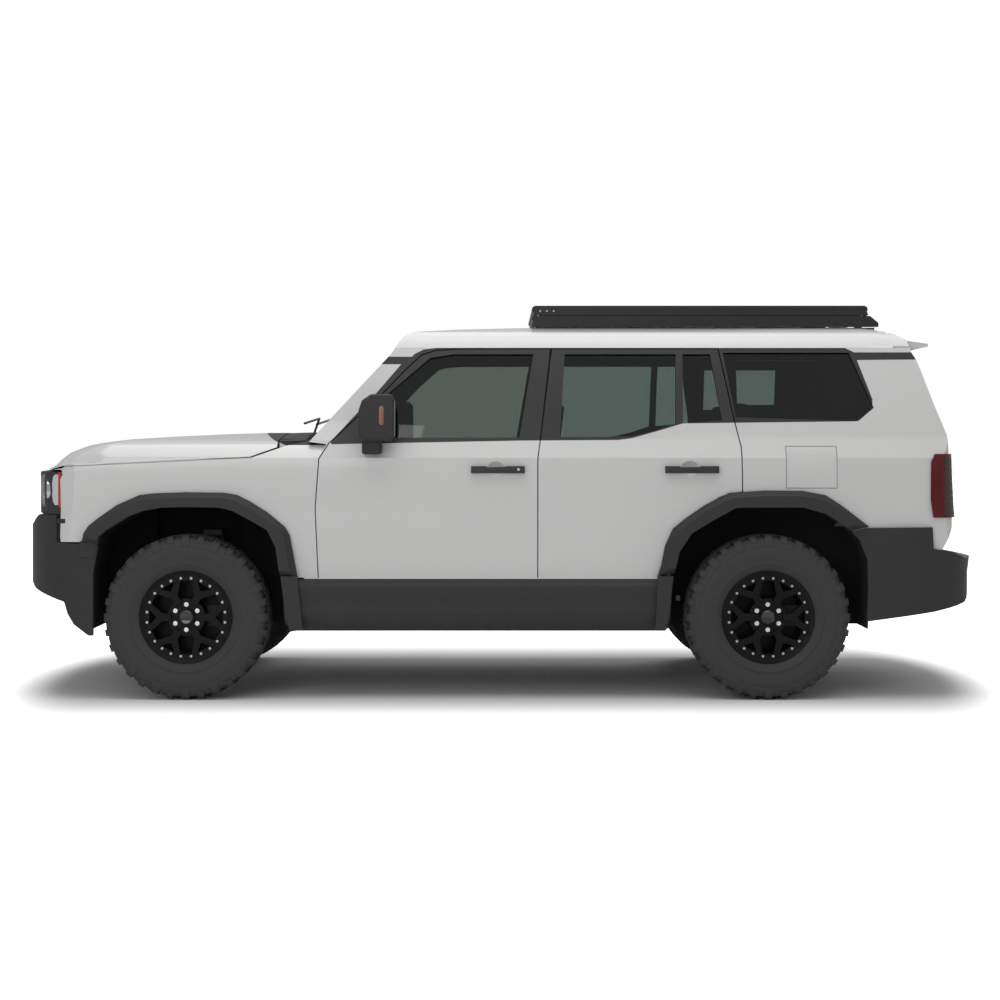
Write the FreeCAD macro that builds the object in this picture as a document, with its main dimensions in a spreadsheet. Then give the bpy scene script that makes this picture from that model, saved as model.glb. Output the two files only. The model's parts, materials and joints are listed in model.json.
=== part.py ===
"""Lifted off-road 4x4, left side forward view along +Y, front at -X, wheels on the ground.

Origin: on the ground, in the middle of the bounding box. X runs rearward, Y to the right.
Every size is a cell of the sheet Sizes; outlines are shares of those sizes.
"""
import FreeCAD, Part
import math
import os
import time
from functools import lru_cache

App = FreeCAD
V = App.Vector

SIZES = {
    # length
    "wheelbase": 2850, "front_overhang": 902.5, "rear_overhang": 1172.5,
    # heights of the body lines, each above the one before
    "door_line_z": 595, "crease_up": 588, "belt_up": 88, "rail_up": 458,
    "shoulder_up": 107, "crown_up": 25, "bonnet_edge_rise": 89, "bonnet_crown_rise": 46,
    # half width at the crease, and how far other lines lie inside or outside it
    "crease_half": 945, "low_in": 28, "belt_in": 40, "rail_in": 162, "shoulder_in": 305,
    "bonnet_edge_in": 145, "flare_out": 45, "tyre_tuck": 145,
    "side_bulge": 9, "glass_bulge": 7, "roof_turn_bulge": 22,
    # walls and gaps
    "pillar_wall": 75, "roof_wall": 30, "door_skin": 30, "door_depth": 82,
    "panel_wall": 22, "shut_gap": 6, "seal_gap": 7, "rebate": 30, "overrun": 40,
    "glass_wall": 5, "glass_depth": 11, "glass_lap": 10, "glass_play": 0.4,
    "door_box_inset": 44, "fit_gap": 0.4, "seat_gap": 0.3, "seal_width": 12,
    # windscreen and tail
    "screen_radius": 5200, "screen_frame": 58, "tail_corner": 120,
    "tail_wall": 62, "tail_opening_in": 169, "tail_sill_up": 133, "tail_flange": 32,
    # tyre, rim, brake
    "tyre_radius": 403, "tyre_width": 265, "lug_depth": 13, "tyre_shoulder": 20,
    "bead_radius": 222, "lug_row": 66, "rim_lip_radius": 229, "rim_width": 214,
    "rim_barrel": 205, "rim_wall": 9, "hub_pad_out": 23, "hub_radius": 92,
    "spoke_depth": 40, "spoke_half": 18, "bolt_band": 25, "spoke_face_out": 99, "stud_pitch_radius": 69.85,
    "stud_hole": 7.5, "cap_radius": 40,
    "disc_radius": 170, "disc_bore": 78, "disc_thick": 28, "disc_in": 39, "hat_wall": 8,
    "hub_barrel": 60,
    "caliper_inner": 92, "caliper_outer": 188, "caliper_half": 52, "caliper_in": 55,
    "caliper_width": 62, "caliper_slot": 4,
    # steering
    "kingpin_in": 65, "knuckle_bore": 55, "knuckle_ring": 80, "knuckle_in": 88,
    "knuckle_width": 35, "ball_radius": 22, "lower_ball_drop": 133,
    "upper_ball_rise": 157, "ball_gap": 0.5, "steer_arm": 100, "steer_arm_in": 90,
    "rod_radius": 12, "rod_drop": 73, "rod_eye": 22, "rod_eye_height": 26,
    "rack_housing": 32, "rack_housing_half": 320, "arm_plate": 14, "upright_width": 34,
    # frame
    "rail_outer_y": 475, "rail_width": 75, "rail_height": 120, "front_rail_drop": 12,
    "middle_rail_drop": 122, "rear_rail_rise": 43, "cross_width": 90, "cross_height": 40,
    "bracket_half": 25, "bracket_reach": 160, "bracket_drop": 168, "subframe_plate": 50,
    "lower_arm_radius": 20, "upper_arm_radius": 14, "upper_arm_reach": 90,
    "arm_sink": 35, "spring_radius": 46, "damper_radius": 18, "strut_x": 75,
    "strut_foot_out": 85, "strut_head_out": 37, "strut_rise": 200,
    # driveline
    "half_shaft": 16, "joint_ball": 40, "diff_radius": 85, "diff_half": 120,
    "axle_tube": 40, "prop_radius": 28, "pinion_rise": 130, "rear_diff_radius": 135,
    "engine_length": 700, "engine_half": 290, "engine_low_z": 525, "engine_height": 585,
    "gearbox_half": 150, "gearbox_low_z": 445, "gearbox_height": 245,
    "gearbox_length": 830,
    "tank_width": 310, "tank_length": 740, "tank_low_z": 380, "tank_height": 180,
    "pipe_radius": 30, "silencer_radius": 72, "silencer_length": 460,
    # floor
    "floor_up": 17, "floor_wall": 22, "floor_in": 103, "tunnel_half": 195,
    "tunnel_rise": 123, "load_floor_rise": 218, "house_wall": 14, "house_in": 205,
    "house_gap": 4, "firewall_drop": 91,
    # cladding
    "flare_chamfer": 26, "flare_rise": 30, "flare_flange": 12, "liner_wall": 6,
    "rocker_drop": 263, "rocker_step": 88, "rocker_out": 10, "rocker_foot_in": 45,
    "rocker_inner_in": 145, "liner_gap": 24, "axle_slot": 110, "strut_slot": 215,
    # bumpers, grille, lamps
    "bumper_wall": 26, "grille_up": 312, "grille_height": 205, "grille_half": 560,
    "grille_depth": 60, "slat_height": 16, "lamp_radius": 82, "lamp_depth": 110,
    "lamp_in": 150, "lamp_rise": 13, "tail_lamp_in": 155, "tail_lamp_up": 296,
    "tail_lamp_height": 312, "tail_lamp_depth": 90, "tail_lamp_out": 14,
    # mirror
    "mirror_root": 7, "mirror_out": 137,
    # rack
    "rack_gap": 7, "rack_height": 80, "rack_tube": 17,
    "rack_slat_half": 35, "rack_slat_height": 12,
    # tailgate spoiler
    "spoiler_in": 245,
    # dashboard, steering wheel and seats
    "dash_depth": 459, "wheel_reach": 188, "wheel_drop": 116,
    "wheel_ring_radius": 186, "wheel_ring_tube": 15, "wheel_boss": 55,
    "column_radius": 24, "column_length": 260, "column_rake": 25,
    "seat_half": 240, "seat_centre_y": 438, "seat_rise": 158, "seat_cushion": 150,
    "seat_length": 510, "seat_back": 130, "seat_back_height": 600, "bench_gap": 18,
    # hitch
    "receiver_half": 38, "receiver_bore": 25.4, "receiver_length": 170,
    "receiver_drop": 90, "pin_radius": 8,
}

DOC = App.newDocument("offroader")
SHEET = DOC.addObject("Spreadsheet::Sheet", "Sizes")
NODES = []


def fill_sheet():
    """One row a size: its name beside its number, which takes the name as alias."""
    for row, (name, number) in enumerate(SIZES.items(), start=1):
        SHEET.set(f"A{row}", name)
        SHEET.set(f"B{row}", str(number))
        SHEET.setAlias(f"B{row}", name)
    DOC.recompute()


def size(name):
    """The number in the cell of that name."""
    return float(getattr(SHEET, name))


class Sizes:
    """Every size as an attribute, read from the sheet."""

    def __getattr__(self, name):
        return size(name)


P = Sizes()
fill_sheet()

# lines along, up and across the vehicle that follow from the sizes

LENGTH = P.wheelbase + P.front_overhang + P.rear_overhang
FRONT_AXLE = P.front_overhang - LENGTH / 2
REAR_AXLE = FRONT_AXLE + P.wheelbase
AXLES = {"front": FRONT_AXLE, "rear": REAR_AXLE}
FRONT_AXLE_TEXT = "(Sizes.front_overhang - Sizes.wheelbase - Sizes.rear_overhang) / 2"
FRONT_RAIL_TEXT = "(Sizes.door_line_z + Sizes.floor_up - Sizes.front_rail_drop)"
ENGINE_AHEAD_SHARE = 0.56

CREASE_Z = P.door_line_z + P.crease_up
BELT_Z = CREASE_Z + P.belt_up
RAIL_Z = BELT_Z + P.rail_up
SHOULDER_Z = RAIL_Z + P.shoulder_up
CROWN_Z = SHOULDER_Z + P.crown_up
BONNET_EDGE_Z = CREASE_Z + P.bonnet_edge_rise
BONNET_CROWN_Z = BONNET_EDGE_Z + P.bonnet_crown_rise
SIDE_HEIGHT = RAIL_Z - P.door_line_z
SHELL_BOTTOM = P.door_line_z - P.shut_gap
TAIL_SILL_Z = P.door_line_z + P.tail_sill_up
FLOOR_Z = P.door_line_z + P.floor_up
TUNNEL_Z = FLOOR_Z + P.tunnel_rise
LOAD_FLOOR_Z = FLOOR_Z + P.load_floor_rise
FIREWALL_Z = BELT_Z - P.firewall_drop
SEAT_LOW_Z = FLOOR_Z + P.seat_rise
ROCKER_LOW_Z = P.door_line_z - P.rocker_drop
ROCKER_STEP_Z = ROCKER_LOW_Z + P.rocker_step
GRILLE_LOW_Z = P.door_line_z + P.grille_up
GRILLE_TOP_Z = GRILLE_LOW_Z + P.grille_height
TAIL_LAMP_LOW_Z = P.door_line_z + P.tail_lamp_up
TAIL_LAMP_TOP_Z = TAIL_LAMP_LOW_Z + P.tail_lamp_height
RACK_LOW_Z = CROWN_Z + P.rack_gap
RACK_TOP_Z = RACK_LOW_Z + P.rack_height
FRONT_RAIL_Z = FLOOR_Z - P.front_rail_drop
MIDDLE_RAIL_Z = FLOOR_Z - P.middle_rail_drop
REAR_RAIL_Z = FLOOR_Z + P.rear_rail_rise
END_RAIL_Z = FRONT_RAIL_Z - P.rail_height / 3
RECEIVER_Z = END_RAIL_Z - P.receiver_drop
BRACKET_LOW_Z = P.tyre_radius - P.bracket_drop
LOWER_BALL_Z = P.tyre_radius - P.lower_ball_drop
UPPER_BALL_Z = P.tyre_radius + P.upper_ball_rise
ROD_Z = P.tyre_radius - P.rod_drop

LOW_HALF = P.crease_half - P.low_in
BELT_HALF = P.crease_half - P.belt_in
RAIL_HALF = P.crease_half - P.rail_in
SHOULDER_HALF = P.crease_half - P.shoulder_in
BONNET_EDGE_HALF = P.crease_half - P.bonnet_edge_in
FLARE_HALF = P.crease_half + P.flare_out
FLOOR_HALF = P.crease_half - P.floor_in
TAIL_OPENING_HALF = P.crease_half - P.tail_opening_in
ROCKER_HALF = P.crease_half + P.rocker_out
ROCKER_FOOT_HALF = P.crease_half - P.rocker_foot_in
ROCKER_INNER = P.crease_half - P.rocker_inner_in
SPOILER_HALF = P.crease_half - P.spoiler_in
HALF_TRACK = FLARE_HALF - P.tyre_tuck
KINGPIN_Y = HALF_TRACK - P.kingpin_in
KNUCKLE_Y = HALF_TRACK - P.knuckle_in
STEER_ARM_Y = HALF_TRACK - P.steer_arm_in
HOUSE_INNER_Y = HALF_TRACK - P.house_in
LOAD_FLOOR_HALF = HOUSE_INNER_Y - P.house_gap
ARM_INNER_Y = P.rail_outer_y - P.arm_sink
SIDES = {"left": -1, "right": 1}


# document helpers

def keep(label, thing):
    """Give an object its node name and put it on the list to be written."""
    thing.Label = label
    NODES.append(thing)
    return thing


def feature(label, shape):
    """A node whose shape is computed from the sheet's sizes."""
    thing = DOC.addObject("Part::Feature", label)
    thing.Shape = shape
    return keep(label, thing)


def bind(thing, **texts):
    """Tie properties of an object to expressions on the sheet."""
    for prop, text in texts.items():
        thing.setExpression(prop.replace("__", "."), text)
    return thing


def place(thing, x_text, y_text, z_text):
    """Tie an object's place to expressions on the sheet."""
    return bind(thing, Placement__Base__x=x_text, Placement__Base__y=y_text,
                Placement__Base__z=z_text)


# outlines and prisms

def polygon_prism(points, lift):
    """A straight prism from a closed outline of vectors."""
    wire = Part.makePolygon(points + points[:1])
    return Part.Face(wire).extrude(lift)


def prism_y(outline, y_low, y_high):
    """An XZ outline carried along Y."""
    points = [V(x, y_low, z) for x, z in outline]
    return polygon_prism(points, V(0, y_high - y_low, 0))


def prism_x(outline, x_low, x_high):
    """A YZ outline carried along X."""
    points = [V(x_low, y, z) for y, z in outline]
    return polygon_prism(points, V(x_high - x_low, 0, 0))


def prism_z(outline, z_low, z_high):
    """An XY outline carried along Z."""
    points = [V(x, y, z_low) for x, y in outline]
    return polygon_prism(points, V(0, 0, z_high - z_low))


def block(x_low, x_high, y_low, y_high, z_low, z_high):
    """A box between two corners."""
    return Part.makeBox(x_high - x_low, y_high - y_low, z_high - z_low,
                        V(x_low, y_low, z_low))


def rod(start, end, radius):
    """A round bar between two points."""
    line = end - start
    return Part.makeCylinder(radius, line.Length, start, line)


def grow(outline, amount):
    """A closed outline moved outward by an amount, with mitred corners."""
    area = sum(a[0] * b[1] - b[0] * a[1] for a, b in zip(outline, outline[1:] + outline[:1]))
    turn = 1 if area > 0 else -1
    moved = []
    count = len(outline)
    for index, point in enumerate(outline):
        before, after = outline[index - 1], outline[(index + 1) % count]
        first = unit_normal(before, point, turn)
        second = unit_normal(point, after, turn)
        scale = amount / (1 + first[0] * second[0] + first[1] * second[1])
        moved.append((point[0] + (first[0] + second[0]) * scale,
                      point[1] + (first[1] + second[1]) * scale))
    return moved


def unit_normal(start, end, turn):
    """The outward unit normal of an edge of an outline that runs counter-clockwise."""
    run, rise = end[0] - start[0], end[1] - start[1]
    length = math.hypot(run, rise)
    return turn * rise / length, -turn * run / length


def mirrored(shape):
    """The same shape on the other side of the vehicle."""
    return shape.mirror(V(0, 0, 0), V(0, 1, 0))


def union(shapes):
    """Shapes joined to one, with seams between coplanar faces removed."""
    return shapes[0].fuse(shapes[1:]).removeSplitter()


def overlap(shapes):
    """What all the shapes have in common."""
    common = shapes[0]
    for shape in shapes[1:]:
        common = common.common(shape)
    return common


def together(shapes):
    """Solids that don't touch, kept in one node."""
    solids = [solid for shape in shapes for solid in shape.Solids]
    return Part.makeCompound(solids)


# the shape of the body in three views

def station(along):
    """X of a share: negative of the front overhang, then of the wheelbase, then beyond 1."""
    if along < 0:
        return FRONT_AXLE + along * P.front_overhang
    if along > 1:
        return REAR_AXLE + (along - 1) * P.rear_overhang
    return FRONT_AXLE + along * P.wheelbase


def side_points(shares):
    """XZ points from stations along the vehicle and shares of the body side's height."""
    return [(station(along), P.door_line_z + up * SIDE_HEIGHT)
            for along, up in shares]


def arch_points(axle_x, shares):
    """XZ points round a wheel, in tyre radii from the axle and from the ground."""
    return [(axle_x + along * P.tyre_radius, up * P.tyre_radius) for along, up in shares]


def bow(start, end, rise):
    """An arc between two points of a plane, which stands out by rise to its right."""
    middle = (start + end) / 2
    along = end - start
    out = V(0, along.z, -along.y).normalize()
    return Part.Arc(start, middle + out * rise, end).toShape()


def section_face(depth, points, bulges, bottom_z):
    """The face of a cross-section, its right half mirrored, depth inside the skin."""
    moved = inset_half(points, depth)
    right = [V(0, y, z) for y, z in moved]
    edges = [Part.makeLine(V(0, 0, bottom_z), V(0, right[0].y, bottom_z)),
             Part.makeLine(V(0, right[0].y, bottom_z), right[0])]
    for start, end, rise in zip(right, right[1:], bulges):
        edges.append(bow(start, end, rise) if rise else Part.makeLine(start, end))
    half = Part.Wire(edges)
    other = half.mirror(V(0, 0, 0), V(0, 1, 0))
    return Part.Face(Part.Wire(Part.sortEdges(half.Edges + other.Edges)[0]))


def inset_half(points, depth):
    """A half section moved inward by depth, its last point kept on the middle plane."""
    closed = [(points[0][0], points[0][1] - P.pillar_wall)] + points
    closed.append((-points[-2][0], points[-2][1]))
    moved = []
    for before, point, after in zip(closed, closed[1:], closed[2:]):
        first = unit_normal(before, point, 1)
        second = unit_normal(point, after, 1)
        scale = -depth / (1 + first[0] * second[0] + first[1] * second[1])
        moved.append((point[0] + (first[0] + second[0]) * scale,
                      point[1] + (first[1] + second[1]) * scale))
    return [(0 if index == len(moved) - 1 else y, z) for index, (y, z) in enumerate(moved)]


def cabin_half():
    """The cabin's half section from the low edge of the doors to the crown."""
    return [(LOW_HALF, P.door_line_z), (P.crease_half, CREASE_Z),
            (BELT_HALF, BELT_Z), (RAIL_HALF, RAIL_Z),
            (SHOULDER_HALF, SHOULDER_Z), (0, CROWN_Z)]


def cabin_bulges():
    """How far each stretch of the cabin's section bows out of a straight line."""
    crown = CROWN_Z - SHOULDER_Z
    return [P.side_bulge, 0, P.glass_bulge, P.roof_turn_bulge, crown / 4]


def nose_half():
    """The front end's half section, flush with the doors up to the crease."""
    return [(LOW_HALF, P.door_line_z), (P.crease_half, CREASE_Z),
            (BONNET_EDGE_HALF, BONNET_EDGE_Z), (0, BONNET_CROWN_Z)]


def nose_bulges():
    """How far each stretch of the front end's section bows out."""
    return [P.side_bulge, P.glass_bulge * 3, P.glass_bulge * 1.5]


ROOF_LINE_SHARES = [(0.35, 0.975), (0.369, 1.049), (0.38, 1.067), (0.391, 1.075),
                    (0.465, 1.086), (0.561, 1.093), (0.719, 1.104), (1.4278, 1.104),
                    (1.4764, 1.097), (1.5275, 1.089), (1.5858, 1.072), (1.6398, 1.05),
                    (1.6398, 0.9824)]
TAIL_LINE_SHARES = [(1.6573, 0.9453), (1.7207, 0.7593), (1.7744, 0.6208),
                    (1.7829, 0.5626), (1.7975, 0.2275), (1.7472, 0.134), (1.7258, 0.1032),
                    (1.7258, -0.04)]
SCREEN_LINE_SHARES = [(0.21, 0.5882), (0.3488, 0.9656)]


def cabin_profile():
    """The cabin's outline from the side, from the screen's foot over the roof to the tail."""
    foot = side_points(SCREEN_LINE_SHARES)[0]
    start = [(foot[0] - 2 * P.overrun, SHELL_BOTTOM), (foot[0] - 2 * P.overrun, foot[1])]
    return start + side_points(SCREEN_LINE_SHARES[:1] + ROOF_LINE_SHARES + TAIL_LINE_SHARES)


@lru_cache(maxsize=None)
def cabin_solid(depth):
    """The whole cabin, depth inside its skin on every face but its floor."""
    face = section_face(depth, cabin_half(), cabin_bulges(), SHELL_BOTTOM)
    face.translate(V(-LENGTH / 2, 0, 0))
    lengthwise = face.extrude(V(LENGTH, 0, 0))
    profile = grow(cabin_profile(), -depth)
    crosswise = prism_y(profile, -FLARE_HALF, FLARE_HALF)
    return overlap([lengthwise, crosswise, screen_cylinder(depth), tail_corners(depth)])


def screen_cylinder(depth):
    """A wide cylinder along the windscreen's slope, which gives it its curve in plan."""
    foot, head = [V(x, 0, z) for x, z in side_points(SCREEN_LINE_SHARES)]
    slope = head - foot
    slope.normalize()
    inward = V(slope.z, 0, -slope.x)
    sag = P.screen_radius - math.sqrt(P.screen_radius ** 2 - BELT_HALF ** 2)
    centre = foot + inward * (P.screen_radius - sag)
    start = centre - slope * LENGTH
    return Part.makeCylinder(P.screen_radius - depth, 2 * LENGTH, start, slope)


def tail_corners(depth):
    """A block with rounded upright edges at the tail, seen from above."""
    rear = station(TAIL_LINE_SHARES[4][0]) - depth
    half = P.crease_half + P.overrun
    box = block(-LENGTH, rear, -half, half, 0, 2 * CROWN_Z)
    edges = [edge for edge in box.Edges
             if abs(edge.CenterOfMass.x - rear) < 1 and abs(edge.tangentAt(0).z) > 0.5]
    return box.makeFillet(P.tail_corner + P.overrun, edges)


NOSE_LINE_SHARES = [(-0.9032, 0.4630), (-0.8356, 0.4982), (-0.7857, 0.5291),
                    (-0.7191, 0.5556), (-0.6527, 0.5705), (-0.5751, 0.5794),
                    (-0.4089, 0.5952), (-0.0764, 0.6129), (0.046, 0.6217),
                    (0.1228, 0.6287), (0.30, 0.6287)]
NOSE_PLAN_SHARES = [(-0.9284, 0), (-0.9174, 0.32), (-0.8735, 0.64), (-0.8179, 0.82),
                    (-0.7456, 0.925), (-0.6474, 0.985), (-0.4765, 1.02)]
NOSE_HOLD_SHARES = [1, 1, 1, 0.95, 0.5, 0.1, 0]
BONNET_EDGE_SHARES = [(0.0499, -1.0), (0.0499, 0.4683), (0.1186, 0.53), (0.2172, 0.5653),
                      (0.2172, 2.2)]
BUMPER_PLAN_SHARES = [(-1.0001, 0), (-0.9891, 0.32), (-0.9158, 0.64), (-0.8274, 0.85),
                      (-0.7137, 0.955), (-0.5684, 1.0), (-0.3158, 1.02)]


def plan_wire(shares, depth, far_x):
    """An outline seen from above whose one end is a smooth curve, depth inside its skin."""
    half = [(station(along), across * P.crease_half)
            for along, across in shares]
    full = [(x, -y) for x, y in reversed(half[1:])] + half
    end = far_x + math.copysign(1, far_x - half[0][0]) * depth
    closed = grow(full + [(end, half[-1][1]), (end, -half[-1][1])], -depth)
    curve = Part.BSplineCurve()
    curve.interpolate([V(x, y, 0) for x, y in closed[:-2]])
    corners = [V(x, y, 0) for x, y in closed[-3:]] + [V(closed[0][0], closed[0][1], 0)]
    lines = [Part.makeLine(start, end) for start, end in zip(corners, corners[1:])]
    return Part.Wire([curve.toShape()] + lines)


def plan_solid(shares, depth, far_x, height):
    """The upright block over a plan outline, from the ground up."""
    return Part.Face(plan_wire(shares, depth, far_x)).extrude(V(0, 0, height))


def bonnet_taper(depth):
    """The upper front end: its plan outline steps back, then leans back with height."""
    wires = []
    for back, up in BONNET_EDGE_SHARES:
        shares = [(along + back * hold, across)
                  for (along, across), hold in zip(NOSE_PLAN_SHARES, NOSE_HOLD_SHARES)]
        wire = plan_wire(shares, depth, P.overrun)
        wire.translate(V(0, 0, P.door_line_z + up * SIDE_HEIGHT))
        wires.append(wire)
    return Part.makeLoft(wires, True, True)


@lru_cache(maxsize=None)
def nose_solid(depth):
    """The whole front end, depth inside its skin."""
    face = section_face(depth, nose_half(), nose_bulges(), SHELL_BOTTOM)
    face.translate(V(-LENGTH / 2, 0, 0))
    lengthwise = face.extrude(V(LENGTH, 0, 0))
    line = side_points(NOSE_LINE_SHARES)
    low = [(line[-1][0], SHELL_BOTTOM), (line[0][0], SHELL_BOTTOM)]
    crosswise = prism_y(grow(line + low, -depth), -FLARE_HALF, FLARE_HALF)
    plan = plan_solid(NOSE_PLAN_SHARES, depth, P.overrun, GRILLE_TOP_Z - depth)
    return overlap([lengthwise, crosswise, plan.fuse(bonnet_taper(depth))])


def side_strip(sign, outer, inner, half=None, bulges=None):
    """A band of the body side between two depths, along the whole vehicle."""
    half = half or cabin_half()[:4]
    bulges = bulges or cabin_bulges()[:3]
    rims = []
    for depth in (outer, inner):
        moved = inset_half(half + [(0, CROWN_Z)], depth)[:-1]
        rims.append([V(-LENGTH / 2, sign * y, z) for y, z in moved])
    edges = []
    for points in rims:
        for start, end, rise in zip(points, points[1:], bulges):
            out = V(0, sign * (end.z - start.z), -(end.y - start.y) * sign).normalize()
            middle = (start + end) / 2 + out * rise
            edges.append(Part.Arc(start, middle, end).toShape() if rise
                         else Part.makeLine(start, end))
    edges.append(Part.makeLine(rims[0][0], rims[1][0]))
    edges.append(Part.makeLine(rims[0][-1], rims[1][-1]))
    wire = Part.Wire(Part.sortEdges(edges)[0])
    return Part.Face(wire).extrude(V(LENGTH, 0, 0))


# doors and glass

DOOR_SHARES = {
    "front": [(0.2274, 0.0), (0.2228, 0.30), (0.2291, 0.5141), (0.2449, 0.5794),
              (0.34, 0.8051), (0.3795, 0.911), (0.4035, 0.9665), (0.428, 0.9868),
              (0.4698, 0.9929), (0.6267, 0.9938), (0.6081, 0.5961), (0.6034, 0.5159),
              (0.6034, 0.0)],
    "rear": [(0.6055, 0.0), (0.6055, 0.5159), (0.6102, 0.5961), (0.6302, 0.9938),
             (0.9193, 0.9938), (0.9425, 0.6914), (0.9537, 0.5688), (0.9551, 0.4233),
             (0.9551, 0.374), (0.935, 0.3669), (0.9167, 0.351), (0.8930, 0.314),
             (0.8588, 0.2549), (0.8379, 0.2116), (0.8312, 0.179), (0.8246, 0.1393),
             (0.818, 0.067), (0.8116, 0.0)],
}
GLASS_SHARES = {
    "front": [(0.3228, 0.6067), (0.3228, 0.7451), (0.3467, 0.8007), (0.4179, 0.9560),
              (0.4596, 0.9720), (0.5979, 0.9720), (0.573, 0.6067)],
    "rear": [(0.6428, 0.6093), (0.6523, 0.9720), (0.8456, 0.9720), (0.8432, 0.6658),
             (0.807, 0.6358), (0.7719, 0.6138), (0.7439, 0.6093)],
    "vent": [(0.8558, 0.6675), (0.8575, 0.9720), (0.9056, 0.9720), (0.9235, 0.6817)],
    "quarter": [(0.9281, 0.9790), (0.9467, 0.6949), (1.3879, 0.679), (1.4538, 0.7363),
                (1.36, 0.9790)],
}


def door_panel(name, sign):
    """A door: its skin with the window frame, and the box below the belt behind it."""
    outline = side_points(DOOR_SHARES[name])
    far = sign * FLARE_HALF
    skin = side_strip(sign, 0, P.door_skin).common(prism_y(outline, min(0, far), max(0, far)))
    inset = grow(outline, -P.door_box_inset)
    belt = max(z for x, z in side_points(GLASS_SHARES[name])[:1]) - P.glass_lap
    box = side_strip(sign, P.door_skin, P.door_depth)
    box = box.common(prism_y(inset, min(0, far), max(0, far)))
    box = box.common(block(-LENGTH, LENGTH, -FLARE_HALF, FLARE_HALF, 0, belt))
    return union([skin, box])


def pane(outline, sign, lap, play):
    """A sheet of glass that follows the body side, with play taken off or added."""
    strip = side_strip(sign, P.glass_depth - play, P.glass_depth + P.glass_wall + play)
    far = sign * FLARE_HALF
    return strip.common(prism_y(grow(outline, lap), min(0, far), max(0, far)))


def window_cut(outline, sign):
    """What a window takes out of a panel: the view and the groove for its glass."""
    far = sign * FLARE_HALF
    view = prism_y(outline, min(0, far), max(0, far))
    groove = pane(outline, sign, P.glass_lap + P.glass_play, P.glass_play)
    return [view, groove]


def make_doors():
    """Four doors, each with its own glass; the rear ones carry a fixed quarter light."""
    for side, sign in SIDES.items():
        for name in ("front", "rear"):
            panel = door_panel(name, sign)
            panes = []
            for light in {"front": ["front"], "rear": ["rear", "vent"]}[name]:
                outline = side_points(GLASS_SHARES[light])
                panel = panel.cut(window_cut(outline, sign))
                panes.append(pane(outline, sign, P.glass_lap, 0))
            handle = door_handle(name, sign)
            feature(f"door_{name}_{side}", union([panel, handle]))
            feature(f"door_glass_{name}_{side}", together(panes))


HANDLE_SHARES = {"front": (0.4898, 0.5817), "rear": (0.8232, 0.9151)}


def door_handle(name, sign):
    """A pull handle on two feet, a little above the crease of the door."""
    low, high = [station(share) for share in HANDLE_SHARES[name]]
    top = CREASE_Z - P.rail_height / 3
    face = P.crease_half + P.bumper_wall
    grip = block(low, high, face - P.arm_plate, face, top - P.upright_width, top)
    feet = [block(x, x + P.upright_width, P.crease_half - P.arm_plate, face,
                  top - P.upright_width, top) for x in (low, high - P.upright_width)]
    handle = union([grip] + feet)
    return handle if sign > 0 else mirrored(handle)


# body shell

FENDER_SHARES = [(-0.7036, 0.4610), (-0.7036, 0.1552), (-0.3158, 0.1552), (-0.3158, 0.0),
                 (0.2254, 0.0),
                 (0.2208, 0.30), (0.2271, 0.5141), (0.2400, 0.5780), (0.2020, 0.5900),
                 (0.1691, 0.5705), (0.1109, 0.5185), (-0.6682, 0.4797)]
BONNET_SHARES = [(-1.0105, 0.4612), (-0.78, 0.4640), (-0.6758, 0.4850), (0.1095, 0.5242), (0.1541, 0.5648),
                 (0.1541, 0.75), (-1.0105, 0.75)]
FLARE_OUTER_SHARES = {
    "front": [(-1.262, 1.914), (-1.239, 2.018), (-1.181, 2.11), (-1.066, 2.203),
              (-0.834, 2.365), (-0.557, 2.487), (-0.372, 2.508), (0, 2.52), (0.462, 2.515),
              (0.624, 2.487), (0.786, 2.404), (0.994, 2.272), (1.202, 2.099),
              (1.26, 1.995), (1.306, 1.74), (1.353, 1.474)],
    "rear": [(-1.342, 1.49), (-1.296, 1.633), (-1.25, 1.874), (-1.157, 2.077),
             (-1.009, 2.198), (-0.768, 2.364), (-0.472, 2.513), (-0.046, 2.541),
             (0.417, 2.537), (0.694, 2.485), (0.881, 2.364), (1.222, 2.103)],
}
FLARE_INNER_SHARES = {
    "front": [(-1.132, 0.70), (-1.122, 1.555), (-1.043, 1.983), (-0.95, 2.064),
              (-0.696, 2.221), (-0.511, 2.295), (-0.279, 2.335), (0, 2.342),
              (0.416, 2.335), (0.578, 2.295), (0.786, 2.184), (0.994, 2.064),
              (1.098, 1.856), (1.133, 1.601), (1.179, 1.323), (1.225, 0.70)],
    "rear": [(-1.25, 0.70), (-1.157, 1.484), (-1.083, 1.8), (-0.935, 2.022),
             (-0.695, 2.17), (-0.398, 2.332), (-0.231, 2.336), (0.417, 2.336),
             (0.694, 2.259), (0.843, 2.161), (1.01, 2.041), (1.11, 1.936),
             (1.205, 1.699), (1.213, 1.359), (1.171, 0.70)],
}


def arch_void(axle, clearance, y_low, y_high):
    """The hollow of a wheel arch, open below, grown by a clearance."""
    outline = arch_points(AXLES[axle], FLARE_INNER_SHARES[axle])
    grown = grow(outline, clearance)
    grown = [(grown[0][0], 0)] + grown[1:-1] + [(grown[-1][0], 0)]
    return prism_y(grown, y_low, y_high)


def arch_cuts(clearance):
    """All four wheel arches, right through the body side."""
    far = FLARE_HALF
    cuts = []
    for axle in AXLES:
        for sign in SIDES.values():
            low, high = sorted((sign * HOUSE_INNER_Y, sign * far))
            cuts.append(arch_void(axle, clearance, low, high))
    return cuts


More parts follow.
